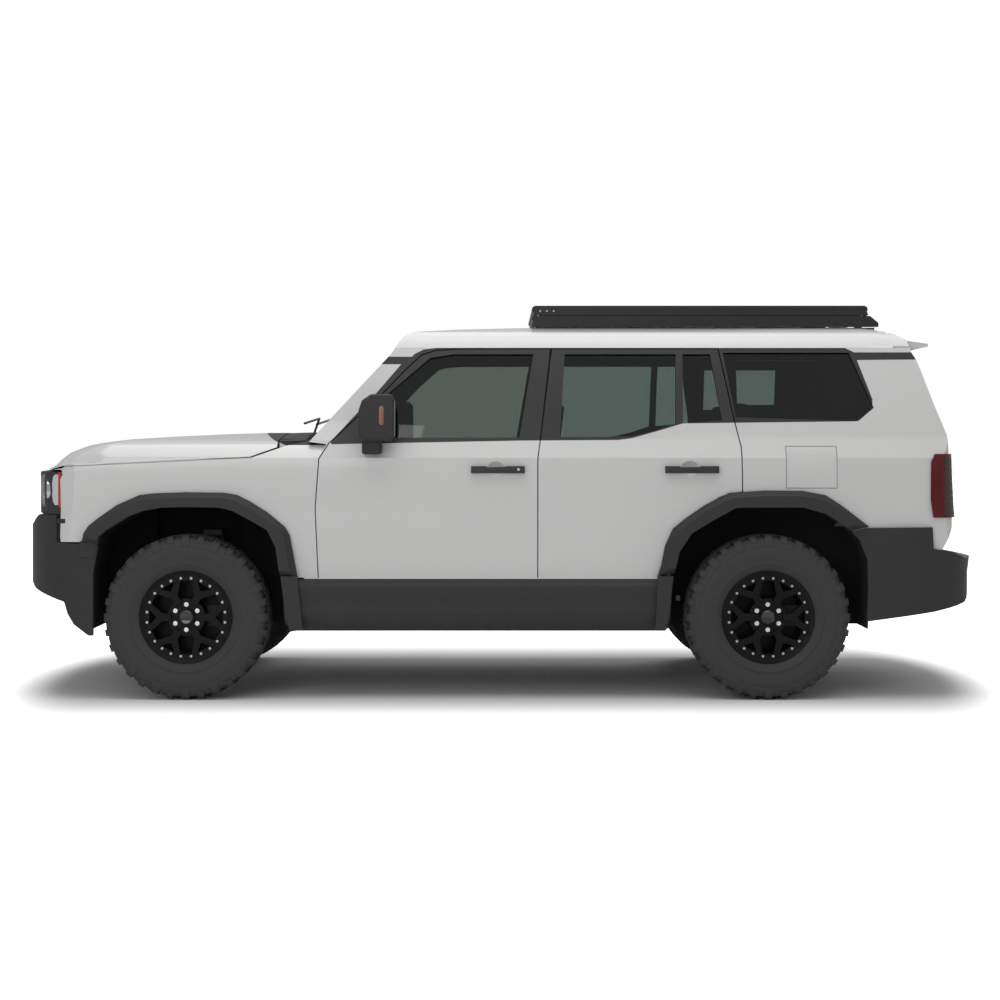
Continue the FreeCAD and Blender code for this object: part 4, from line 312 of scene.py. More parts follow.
# aluminised exhaust steel
PIPE = Finish("aluminised_steel", "6e6a64", 0.42, Relief.TURNED, 3.0, 0.08, 0.12, metal=1.0)
# woven polyester seat cloth
SEAT_CLOTH = Finish("woven_polyester", "26272a", 0.9, Relief.WOVEN, 2.4, 0.4, 0.15)
# soft-touch moulded trim of the cabin
CABIN_TRIM = Finish("soft_touch_trim", "1b1c1e", 0.75, Relief.GRAINED, 2.5, 0.2, 0.08)
# seam-sealed underbody paint
UNDERBODY = Finish("sealed_underbody", "2c2d2f", 0.7, Relief.CAST, 4.0, 0.25, 0.12)
# chrome on the inside of the lamps
REFLECTOR = Finish("vapour_coated_reflector", "c9ccd0", 0.12, Relief.MOULDED, 6.0, 0.02,
                   0.03, metal=1.0)
# green-tinted panes of the front doors, the rear sides and the windscreen
SIDE_GLASS = Lens("tinted_side_glass", "c0c7c3", thin=True)
PRIVACY_GLASS = Lens("privacy_glass", "bfc7c4", thin=True)
SCREEN_GLASS = Lens("laminated_screen_glass", "c4cac7", thin=True)
LAMP_GLASS = Lens("clear_polycarbonate", "eef1f2", 0.03)
RED_LENS = Lens("red_acrylic", "6e1216", 0.08, 0.35)
AMBER_LENS = Lens("amber_acrylic", "c8401c", 0.1, 0.15)
# smoked cover of the mirrors' repeaters
SMOKED_AMBER = Finish("smoked_amber_acrylic", "7d392b", 0.2, Relief.MOULDED, 6.0, 0.02, 0.05,
                      coat=0.5)
# milky cover over the corner light, seen by day as a pale grey
FROSTED = Finish("frosted_polycarbonate", "c6cacb", 0.24, Relief.MOULDED, 5.0, 0.03, 0.04,
                 coat=0.6)

FINISH_OF_SLOT: dict[str, Finish | Lens] = {
    "white_paint": PAINT, "tinted_glass": PRIVACY_GLASS, "clear_glass": SCREEN_GLASS,
    "headlamp_lens": LAMP_GLASS, "taillamp_lens": RED_LENS, "tyre_rubber": TYRE_RUBBER,
    "black_alloy": WHEEL_BLACK, "machined_iron": SHADE_DARKENED_IRON, "cast_steel": BLACK_CAST_STEEL_WITH_PAINTED_SHADE,
    "frame_paint": FRAME_PAINT, "cast_alloy": ALLOY_CAST, "pipe_steel": PIPE,
    "black_plastic": BLACK_ABS, "cladding_plastic": CLADDING, "rack_powder_coat": POWDER,
    "underbody_paint": UNDERBODY, "seat_fabric": SEAT_CLOTH,
}
# nodes whose finish isn't that of their slot
FINISH_OF_NODE: dict[str, Finish | Lens] = {
    "door_glass_front": SIDE_GLASS, "dashboard": CABIN_TRIM, "steering_wheel": CABIN_TRIM,
    "arch_liners": LINER,
}
ZONE_FINISHES = (TRIM_FILM, CABIN_TRIM, AMBER_LENS, FROSTED, CLADDING)


class Zone(IntEnum):
    """Places in a panel's list of materials: its own finish, then ZONE_FINISHES."""

    OWN = 0
    FILM = 1
    CABIN = 2
    AMBER = 3
    FROSTED = 4
    GRAINED = 5


# meshes

def linked(name: str, data: bpy.types.ID) -> bpy.types.Object:
    """Make an object and link it to the scene.

    Args:
        name: The object's name.
        data: Its mesh, camera or lamp.

    Returns:
        The new object.
    """
    thing = bpy.data.objects.new(name, data)
    bpy.context.scene.collection.objects.link(thing)
    return thing


def written(form: bmesh.types.BMesh, name: str, outwards: bool = True) -> bpy.types.Mesh:
    """Write a form to a new mesh and free it.

    Args:
        form: The form.
        name: The mesh's name.
        outwards: Whether its faces are first turned outwards.

    Returns:
        The mesh.
    """
    if outwards:
        bmesh.ops.recalc_face_normals(form, faces=form.faces)
    mesh = bpy.data.meshes.new(name)
    form.to_mesh(mesh)
    form.free()
    return mesh


def new_piece(name: str, mesh: bpy.types.Mesh, body: str,
              finishes: Iterable[Finish | Lens]) -> bpy.types.Object:
    """Make an object of a finished mesh and let it ride on its body.

    Args:
        name: The piece's name.
        mesh: Its mesh, with its place in its vertices.
        body: The CAD body that carries it.
        finishes: Its materials in slot order.

    Returns:
        The new object.
    """
    piece = linked(name, mesh)
    mesh.materials.clear()
    for finish in finishes:
        mesh.materials.append(finish.material())
    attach(piece, body)
    return piece


def smooth(mesh: bpy.types.Mesh, degrees: float = 30.0) -> None:
    """Shade a mesh smooth, but sharp at edges over an angle.

    Args:
        mesh: The mesh.
        degrees: The angle.
    """
    mesh.polygons.foreach_set("use_smooth", [True] * len(mesh.polygons))
    mesh.set_sharp_from_angle(angle=math.radians(degrees))
    mesh.update()


def apply_modifiers(piece: bpy.types.Object) -> None:
    """Bake a piece's modifiers into its mesh and remove them.

    Args:
        piece: The object.
    """
    graph = bpy.context.evaluated_depsgraph_get()
    graph.update()
    made = bpy.data.meshes.new_from_object(piece.evaluated_get(graph),
                                           preserve_all_data_layers=True, depsgraph=graph)
    piece.modifiers.clear()
    piece.data = made


def merged_copy(node: str, name: str) -> bpy.types.Object:
    """Copy a CAD node with its triangles welded and its flat faces joined.

    Args:
        node: The CAD node.
        name: Name of the copy.

    Returns:
        The copy, without materials.
    """
    mesh = frame["nodes"][node].data.copy()
    form = bmesh.new()
    form.from_mesh(mesh)
    bmesh.ops.remove_doubles(form, verts=form.verts, dist=2e-5)
    bmesh.ops.dissolve_limit(form, angle_limit=math.radians(0.6), verts=form.verts,
                             edges=form.edges, use_dissolve_boundaries=False)
    form.to_mesh(mesh)
    form.free()
    mesh.materials.clear()
    return linked(name, mesh)


def soften(piece: bpy.types.Object, width: float, degrees: float = 34.0,
           crease: float = 34.0) -> None:
    """Round the sharp edges of a piece.

    Args:
        piece: The object.
        width: Width of the rounding in metres.
        degrees: Edges over this angle are rounded.
        crease: Edges over this angle stay sharp to the eye.
    """
    bevel = piece.modifiers.new("edge", "BEVEL")
    bevel.width = width
    bevel.segments = 2
    bevel.limit_method = "ANGLE"
    bevel.angle_limit = math.radians(degrees)
    apply_modifiers(piece)
    smooth(piece.data, min(degrees, crease))
    weigh = piece.modifiers.new("weigh", "WEIGHTED_NORMAL")
    weigh.keep_sharp = True
    weigh.weight = 100
    apply_modifiers(piece)


def lathe(profile: Outline, steps: int) -> bpy.types.Mesh:
    """Turn a closed outline about the Y axis.

    Args:
        profile: Points of radius and Y, in metres.
        steps: Faces round the turn.

    Returns:
        A closed ring or disc as a mesh.
    """
    form = bmesh.new()
    rings = []
    for step in range(steps):
        angle = math.tau * step / steps
        rings.append([form.verts.new((radius * math.cos(angle), along,
                                      radius * math.sin(angle)))
                      for radius, along in profile])
    for index, ring in enumerate(rings):
        after = rings[(index + 1) % steps]
        for place in range(len(profile)):
            beside = (place + 1) % len(profile)
            form.faces.new((ring[place], ring[beside], after[beside], after[place]))
    bmesh.ops.remove_doubles(form, verts=form.verts, dist=1e-6)
    return written(form, "turned")


def prism(outline: list[Point], lift: Point) -> bpy.types.Mesh:
    """Carry a flat outline along a vector.

    Args:
        outline: Corners in order, in metres.
        lift: The vector.

    Returns:
        The closed prism.
    """
    form = bmesh.new()
    low = [form.verts.new(point) for point in outline]
    high = [form.verts.new(Vector(point) + Vector(lift)) for point in outline]
    form.faces.new(low)
    form.faces.new(high)
    for index in range(len(outline)):
        after = (index + 1) % len(outline)
        form.faces.new((low[index], low[after], high[after], high[index]))
    return written(form, "prism")


def joined(meshes: list[bpy.types.Mesh]) -> bpy.types.Mesh:
    """Join meshes to one.

    Args:
        meshes: The meshes, which are used up.

    Returns:
        The joined mesh.
    """
    form = bmesh.new()
    for mesh in meshes:
        form.from_mesh(mesh)
        bpy.data.meshes.remove(mesh)
    return written(form, "joined", outwards=False)


def moved(mesh: bpy.types.Mesh, matrix: Matrix) -> bpy.types.Mesh:
    """Move a mesh, and turn it the right way out if the matrix mirrors.

    Args:
        mesh: The mesh.
        matrix: The move.

    Returns:
        The same mesh.
    """
    mesh.transform(matrix)
    if matrix.determinant() < 0:
        mesh.flip_normals()
    return mesh


def box_mesh(low: Point, high: Point) -> bpy.types.Mesh:
    """Make a box between two corners in millimetres.

    Args:
        low: Lowest corner.
        high: Highest corner.

    Returns:
        The closed box.
    """
    corners = [(low[0], low[1], low[2]), (high[0], low[1], low[2]),
               (high[0], high[1], low[2]), (low[0], high[1], low[2])]
    return prism([tuple(part * MM for part in corner) for corner in corners],
                 (0, 0, (high[2] - low[2]) * MM))


def side_prism(outline: Outline, low: float, high: float) -> bpy.types.Mesh:
    """Carry an outline of X and Z across from one Y to another, in millimetres.

    Args:
        outline: Corners as X and Z.
        low: The lower Y.
        high: The higher Y.

    Returns:
        The closed prism.
    """
    return prism([(x * MM, low * MM, z * MM) for x, z in outline], (0, (high - low) * MM, 0))


def rectangle(left: float, right: float, low: float, high: float) -> Outline:
    """Give the corners of a rectangle.

    Args:
        left: Its lower X.
        right: Its higher X.
        low: Its lower Z or Y.
        high: Its higher Z or Y.

    Returns:
        The corners in order.
    """
    return [(left, low), (right, low), (right, high), (left, high)]


def rod_mesh(start: Point, end: Point, radius: float, steps: int = 16) -> bpy.types.Mesh:
    """Make a round bar between two points in millimetres.

    Args:
        start: Centre of one end.
        end: Centre of the other end.
        radius: Its radius.
        steps: Faces round it.

    Returns:
        The closed bar.
    """
    line = Vector(end) - Vector(start)
    side = line.orthogonal().normalized()
    turn = line.normalized().cross(side)
    ring = [Vector(start) + (side * math.cos(math.tau * step / steps)
                             + turn * math.sin(math.tau * step / steps)) * radius
            for step in range(steps)]
    return prism([tuple(point * MM) for point in ring], tuple(line * MM))


def inside(outline: Outline, x: float, z: float) -> bool:
    """Tell whether a point lies in an outline.

    Args:
        outline: Corners as X and Z.
        x: The point's X.
        z: The point's Z.

    Returns:
        True inside.
    """
    crossed = False
    for (ax, az), (bx, bz) in zip(outline, outline[1:] + outline[:1]):
        if (az > z) != (bz > z) and x < (bx - ax) * (z - az) / (bz - az) + ax:
            crossed = not crossed
    return crossed


def level(table: Outline, place: float) -> float:
    """Read a value off a table, straight between its rows.

    Args:
        table: Places in rising order, each with its value.
        place: Where to read.

    Returns:
        The value there.
    """
    for (low, first), (high, last) in zip(table, table[1:]):
        if place <= high:
            return first + (last - first) * max(0.0, (place - low) / (high - low))
    return table[-1][1]


# repeats, made with geometry nodes

def repeat_tree() -> bpy.types.NodeTree:
    """Build the tree that repeats a part round the Y axis and along a step.

    Returns:
        The tree, with inputs for the part, the count, the turn, the step and the finish.
    """
    found = bpy.data.node_groups.get("repeat_part")
    if found:
        return found
    tree = bpy.data.node_groups.new("repeat_part", "GeometryNodeTree")
    for name, kind in (("Part", "NodeSocketObject"), ("Count", "NodeSocketInt"),
                       ("Angle", "NodeSocketFloat"), ("Turn", "NodeSocketFloat"),
                       ("Step", "NodeSocketVector"), ("Finish", "NodeSocketMaterial")):
        tree.interface.new_socket(name=name, in_out="INPUT", socket_type=kind)
    tree.interface.new_socket(name="Mesh", in_out="OUTPUT", socket_type="NodeSocketGeometry")
    given = add_node(tree, "NodeGroupInput").outputs
    index = add_node(tree, "GeometryNodeInputIndex").outputs[0]
    along = add_node(tree, "ShaderNodeVectorMath", {"operation": "SCALE"}, {
        0: given["Step"], "Scale": index})
    spots = add_node(tree, "GeometryNodePoints", None, {
        "Count": given["Count"], "Position": along.outputs[0]})
    angle = add_node(tree, "ShaderNodeMath", {"operation": "MULTIPLY_ADD"}, {
        0: index, 1: given["Angle"], 2: given["Turn"]})
    spin = add_node(tree, "ShaderNodeCombineXYZ", None, {"Y": angle.outputs[0]})
    part = add_node(tree, "GeometryNodeObjectInfo", None, {"Object": given["Part"]})
    copies = add_node(tree, "GeometryNodeInstanceOnPoints", None, {
        "Points": spots.outputs[0], "Instance": part.outputs["Geometry"],
        "Rotation": spin.outputs[0]})
    whole = add_node(tree, "GeometryNodeRealizeInstances", None, {
        "Geometry": copies.outputs[0]})
    dressed = add_node(tree, "GeometryNodeSetMaterial", None, {
        "Geometry": whole.outputs[0], "Material": given["Finish"]})
    add_node(tree, "NodeGroupOutput", None, {"Mesh": dressed.outputs[0]})
    return tree


def repeated(part: bpy.types.Mesh, count: int, finish: Finish | Lens, full_turn: bool = False,
             turn: float = 0.0, step: Point = (0, 0, 0)) -> bpy.types.Mesh:
    """Repeat a part round the Y axis or along a step.

    Args:
        part: The part's mesh, used up.
        count: How many.
        finish: Its finish.
        full_turn: Whether the copies share one full turn about Y.
        turn: Angle of the first copy in degrees.
        step: From one copy to the next, in millimetres.

    Returns:
        One mesh with every copy.
    """
    source = linked("part", part)
    carrier = linked("carrier", bpy.data.meshes.new("carrier"))
    tree = repeat_tree()
    made = carrier.modifiers.new("repeat", "NODES")
    made.node_group = tree
    values = {"Part": source, "Count": count, "Turn": -math.radians(turn),
              "Angle": -math.tau / count if full_turn else 0.0,
              "Step": tuple(size * MM for size in step), "Finish": finish.material()}
    for item in tree.interface.items_tree:
        if item.in_out == "INPUT":
            made[item.identifier] = values[item.name]
    graph = bpy.context.evaluated_depsgraph_get()
    graph.update()
    mesh = bpy.data.meshes.new_from_object(carrier.evaluated_get(graph), depsgraph=graph)
    for thing in (carrier, source):
        bpy.data.objects.remove(thing)
    return mesh


def both_sides(mesh: bpy.types.Mesh) -> bpy.types.Mesh:
    """Join a mesh with its mirror image on the other side of the vehicle.

    Args:
        mesh: The mesh, used up.

    Returns:
        Both as one mesh.
    """
    other = moved(mesh.copy(), Matrix.Scale(-1, 4, (0, 1, 0)))
    return joined([mesh, other])


def rounded_piece(name: str, mesh: bpy.types.Mesh, body: str,
                  finish: Finish | Lens, width: float = 1.5) -> bpy.types.Object:
    """Make a piece with rounded edges.

    Args:
        name: The piece's name.
        mesh: Its mesh.
        body: The CAD body that carries it.
        finish: Its finish.
        width: Width of the rounding in millimetres.

    Returns:
        The piece.
    """
    piece = linked(name, mesh)
    soften(piece, width * MM)
    mesh = piece.data
    bpy.data.objects.remove(piece)
    mesh.name = name
    return new_piece(name, mesh, body, [finish])


# sub-assemblies

@dataclass
class Contour:
    """Small moves that bring copied panels to the photographed outline, in millimetres.

    Args:
        tail: How far the tail lies back at each height.
        roof_end: How far the roof's rear end and the spoiler come down at each X.
        plan: X of the nose's plan at each distance from the middle.
        nose: Height of the bonnet's crown at each distance behind that plan.
        lip: Height of the bonnet's lower edge at each X.
        front_edge: How far the front edge of the fenders moves back.
        rack_foot: How far the rack's feet reach down.
        joint: How far the fuel flap grows to close its joint.
        flap: X and Z of the fuel flap's centre.
        tail_start: X from which the tail's move fades in.
        tail_blend: Length over which it does.
        roof_low: Height above which the roof's end comes down.
        skin: Thickness of the bonnet, left between its two faces.
        lip_height: Height of the bonnet's side above its lower edge.
        bumper_lift: How far the rear bumper's underside comes up.
    """

    tail: Outline = field(default_factory=lambda: [
        (700, -12), (900, -12), (950, -25), (1200, -25), (1300, -24), (1450, -19),
        (1650, -17), (1745, -36), (1790, -53)])
    roof_end: Outline = field(default_factory=lambda: [
        (1790, 0), (1849, -4), (1908, -8), (1977, -12), (2200, -14)])
    plan: Outline = field(default_factory=lambda: [
        (0, -2398), (302, -2388), (605, -2348), (775, -2298), (874, -2233), (931, -2144),
        (964, -1990)])
    nose: Outline = field(default_factory=lambda: [
        (45, 1121), (63, 1128), (109, 1175), (150, 1206), (202, 1227), (247, 1243),
        (305, 1255), (399, 1268), (520, 1292), (3000, 1400)])
    lip: Outline = field(default_factory=lambda: [
        (-2472, 1120), (-2264, 1123), (-2170, 1144), (-1248, 1183), (-1121, 1224)])
    front_edge: float = 18.0
    rack_foot: float = 8.0
    joint: float = 3.0
    flap: tuple[float, float] = (1503.0, 1138.0)
    tail_start: float = 1900.0
    tail_blend: float = 220.0
    roof_low: float = 1740.0
    skin: float = 14.0
    lip_height: float = 7.0
    bumper_lift: float = 22.0

    def sliced(self, mesh: bpy.types.Mesh, cuts: list[Point]) -> None:
        """Divide a mesh at planes square to X and Y.

        Args:
            mesh: The mesh.
            cuts: Each plane's normal times its place in millimetres.
        """
        form = bmesh.new()
        form.from_mesh(mesh)
        for cut in cuts:
            bmesh.ops.bisect_plane(form, geom=form.verts[:] + form.edges[:] + form.faces[:],
                                   dist=1e-6, plane_co=Vector(cut) * MM,
                                   plane_no=Vector(cut).normalized())
        form.to_mesh(mesh)
        form.free()

    def shift(self, node: str, spot: Vector, normal: Vector) -> Point:
        """Give the move of one point of a node in millimetres.

        Args:
            node: The CAD node.
            spot: The point.
            normal: Its normal.

        Returns:
            The move.
        """
        behind = min(1.0, max(0.0, (spot.x - self.tail_start) / self.tail_blend))
        if node.startswith(("body_side", "tail")):
            back = level(self.tail, spot.z) * behind
            down = level(self.roof_end, spot.x) if spot.z > self.roof_low else 0.0
            return (back, 0, down)
        if node == "roof_panel" and spot.z > self.roof_low:
            return (0, 0, level(self.roof_end, spot.x))
        if node == "bonnet":
            top = level(self.nose, spot.x - level(self.plan, abs(spot.y)))
            edge = level(self.lip, spot.x)
            top = max(top, edge + self.lip_height) - (self.skin if normal.z < 0 else 0)
            return (0, 0, min(0.0, max(top, edge) - spot.z))
        if node.startswith("fender") and spot.x < -2184:
            return (self.front_edge, 0, 0)
        if node == "grille" and spot.x > -2202:
            return (self.front_edge - 2, 0, 0)
        if node == "roof_rack" and spot.z < 1837:
            return (0, 0, -self.rack_foot)
        if node == "rear_bumper":
            return (-10 if spot.x > 2380 and spot.z < 650 else 0, 0,
                    self.bumper_lift if spot.z < 470 else 0)
        if node == "fuel_flap":
            return (math.copysign(self.joint, spot.x - self.flap[0]), 0,
                    math.copysign(self.joint, spot.z - self.flap[1]))
        return (0, 0, 0)

    def fit(self, piece: bpy.types.Object, node: str) -> None:
        """Move a copied panel's points.

        Args:
            piece: The copy.
            node: Its CAD node.
        """
        if node == "bonnet":
            across = [(0, side * y, 0) for side in (-1, 1)
                      for y in (150, 302, 450, 605, 700, 775, 830, 874)]
            self.sliced(piece.data, across + [(x, 0, 0) for x in range(-2340, -1900, 24)])
        if node == "roof_panel":
            self.sliced(piece.data, [(place, 0, 0) for place, _ in self.roof_end])
        normals = [corner.normal.copy() for corner in piece.data.vertices]
        for corner, normal in zip(piece.data.vertices, normals):
            corner.co += Vector(self.shift(node, corner.co / MM, normal)) * MM


@dataclass
class Panels:
    """The body's outer panels and other CAD forms, copied with real edges and finishes.

    Args:
        trim: Outline of the black upper trim on the left side, X and Z in millimetres.
        lens: Outline of the pale corner light.
        marker: Outline of the side marker behind it.
        scuttle: Outline of the black strip above the fenders' rear end.
        edge_mm: Rounding of each kind of panel.
        cup: Centre of each door's hand cup.
        cup_half: Half sizes of the hand cup in metres.
        handle: X of both ends of the pull handle that each door node carries.
    """

    trim: Outline = field(default_factory=lambda: [
        (-852, 1250), (-853, 1266), (-725, 1406), (-633, 1504), (-513, 1647), (-640, 1647),
        (-600, 1685), (-459, 1685), (-450, 1697), (-401, 1722), (-283, 1735), (277, 1745),
        (932, 1749), (1589, 1749), (1684, 1734), (1738, 1707), (2060, 1707), (2060, 1671),
        (1750, 1668), (1817, 1472), (1815, 1423), (1735, 1363), (878, 1353), (766, 1319),
        (627, 1280), (559, 1271), (76, 1268)])
    edge_mm: dict[str, float] = field(default_factory=lambda: {
        "door_front": 1.3, "door_rear": 1.3, "body_side": 1.3, "fender": 1.3, "bonnet": 2.0,
        "roof_panel": 2.5, "tailgate_glass": 1.0, "tailgate": 2.0, "taillamps": 1.5,
        "fuel_flap": 1.0, "front_bumper": 5.0, "rear_bumper": 5.0,
        "wheel_flares": 4.0, "rocker_panels": 6.0, "grille": 3.0, "mirror": 4.0,
        "roof_rack": 3.0, "cowl": 3.0})
    lens: Outline = field(default_factory=lambda: [
        (-2196, 951), (-2214, 951), (-2226, 968), (-2231, 1000), (-2231, 1060), (-2226, 1088),
        (-2214, 1101), (-2196, 1101)])
    scuttle: Outline = field(default_factory=lambda: [
        (-1120, 1262), (-1086, 1246), (-870, 1246), (-870, 1300), (-1120, 1300)])
    marker: Outline = field(default_factory=lambda: [
        (-2196, 941), (-2196, 1113), (-2170, 1113), (-2170, 941)])
    cup: dict[str, Point] = field(default_factory=lambda: {
        "front": (-42, 962, 1130), "rear": (908, 962, 1133)})
    cup_half: Point = (0.051, 0.032, 0.044)
    handle: dict[str, tuple[float, float]] = field(default_factory=lambda: {
        "front": (-170, 105), "rear": (780, 1055)})

    def build(self) -> None:
        """Dress every CAD node, and copy the ones that show with rounded edges."""
        for node, thing in frame["nodes"].items():
            finish = next((other for start, other in FINISH_OF_NODE.items()
                           if node.startswith(start)), FINISH_OF_SLOT[SLOT_OF[node]])
            width = next((size for start, size in self.edge_mm.items()
                          if node.startswith(start)), None)
            if width is None:
                thing.data.materials.clear()
                thing.data.materials.append(finish.material())
                continue
            piece = merged_copy(node, f"{node}_panel")
            for made in (finish, *ZONE_FINISHES):
                piece.data.materials.append(made.material())
            Contour().fit(piece, node)
            for outline, zone in self.zones(node):
                self.split_zone(piece, outline, zone)
            if node.startswith("door"):
                self.sink_cup(piece, node)
            flat = node.startswith(("door", "body_side", "fender"))
            soften(piece, width * MM, crease=10.0 if flat else 34.0)
            self.darken_inside(piece, node)
            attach(piece, BODY_OF[node])
            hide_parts(node)

    def zones(self, node: str) -> list[tuple[Outline, Zone]]:
        """List the parts of a node that take another finish, in the order of cutting.

        Args:
            node: The CAD node.

        Returns:
            Outlines of X and Z, each with its finish.
        """
        bands = [(rectangle(2158, 2300, low, low + 9), Zone.OWN) for low in range(926, 1137, 35)]
        table = {"door": [(self.trim, Zone.FILM)], "body_side": [(self.trim, Zone.FILM)],
                 "grille": [(self.lens, Zone.FROSTED), (self.marker, Zone.AMBER)],
                 "bonnet": [(COWL_EDGE, Zone.GRAINED)],
                 "fender": [(self.scuttle, Zone.GRAINED)],
                 "taillamps": [(rectangle(2152, 2300, 905, 1180), Zone.FILM), *bands]}
        return next((rows for start, rows in table.items() if node.startswith(start)), [])

    def cut_planes(self, piece: bpy.types.Object, outline: Outline) -> None:
        """Divide a panel's faces along every edge of an outline, near that edge only.

        Args:
            piece: The panel.
            outline: X and Z in millimetres.
        """
        form = bmesh.new()
        form.from_mesh(piece.data)
        for (ax, az), (bx, bz) in zip(outline, outline[1:] + outline[:1]):
            low = (min(ax, bx) - 1) * MM, (min(az, bz) - 1) * MM
            high = (max(ax, bx) + 1) * MM, (max(az, bz) + 1) * MM
            near = []
            for face in form.faces:
                xs = [corner.co.x for corner in face.verts]
                zs = [corner.co.z for corner in face.verts]
                if (max(xs) > low[0] and min(xs) < high[0]
                        and max(zs) > low[1] and min(zs) < high[1]):
                    near.append(face)
            edges = {edge for face in near for edge in face.edges}
            corners = {corner for face in near for corner in face.verts}
            if not near:
                continue
            bmesh.ops.bisect_plane(form, geom=list(corners) + list(edges) + near, dist=1e-6,
                                   plane_co=(ax * MM, 0, az * MM),
                                   plane_no=Vector((bz - az, 0, ax - bx)).normalized())
        form.to_mesh(piece.data)
        form.free()

    def split_zone(self, piece: bpy.types.Object, outline: Outline, zone: int) -> None:
        """Give the part of a panel inside an outline another finish.

        Args:
            piece: The panel.
            outline: X and Z in millimetres.
            zone: The finish's place in the panel's list.
        """
        self.cut_planes(piece, outline)
        for face in piece.data.polygons:
            spot = face.center / MM
            if inside(outline, spot.x, spot.z):
                face.material_index = zone

    def sink_cup(self, piece: bpy.types.Object, node: str) -> None:
        """Press the hand cup into a door, and blacken its pull handle.

        Args:
            piece: The door's panel.
            node: Its CAD node.
        """
        name = "front" if "front" in node else "rear"
        side = SIDES["left" if node.endswith("left") else "right"]
        low, high = self.handle[name]
        for face in piece.data.polygons:
            spot = face.center / MM
            if low < spot.x < high and 1100 < spot.z < 1150 and abs(spot.y) > 948:
                face.material_index = Zone.FILM
        x, y, z = self.cup[name]
        form = bmesh.new()
        bmesh.ops.create_uvsphere(form, u_segments=32, v_segments=16, radius=1.0)
        mesh = written(form, "cup", outwards=False)
        mesh.transform(Matrix.Diagonal((*self.cup_half, 1)))
        mesh.transform(Matrix.Translation((x * MM, side * y * MM, z * MM)))
        cutter = linked("cup", mesh)
        before = piece.data.copy()
        cut = piece.modifiers.new("cup", "BOOLEAN")
        cut.operation = "DIFFERENCE"
        cut.solver = "EXACT"
        cut.object = cutter
        cut.material_mode = "INDEX"
        apply_modifiers(piece)
        bpy.data.objects.remove(cutter)
        if len(piece.data.polygons) < len(before.polygons) * 0.9:
            LOG.warning("the cup of %s is left out", node)
            piece.data = before

    def darken_inside(self, piece: bpy.types.Object, node: str) -> None:
        """Line the cabin's side of a panel with trim.

        Args:
            piece: The panel.
            node: Its CAD node.
        """
        if node.startswith(("door", "body_side")):
            side = SIDES["left" if node.endswith("left") else "right"]
            for face in piece.data.polygons:
                if face.normal.y * side < -0.35:
                    face.material_index = Zone.CABIN
        if node in ("roof_panel", "tailgate"):
            for face in piece.data.polygons:
                ahead = face.normal.x < -0.35 and node == "tailgate"
                if face.normal.z < -0.5 or ahead:
                    face.material_index = Zone.CABIN


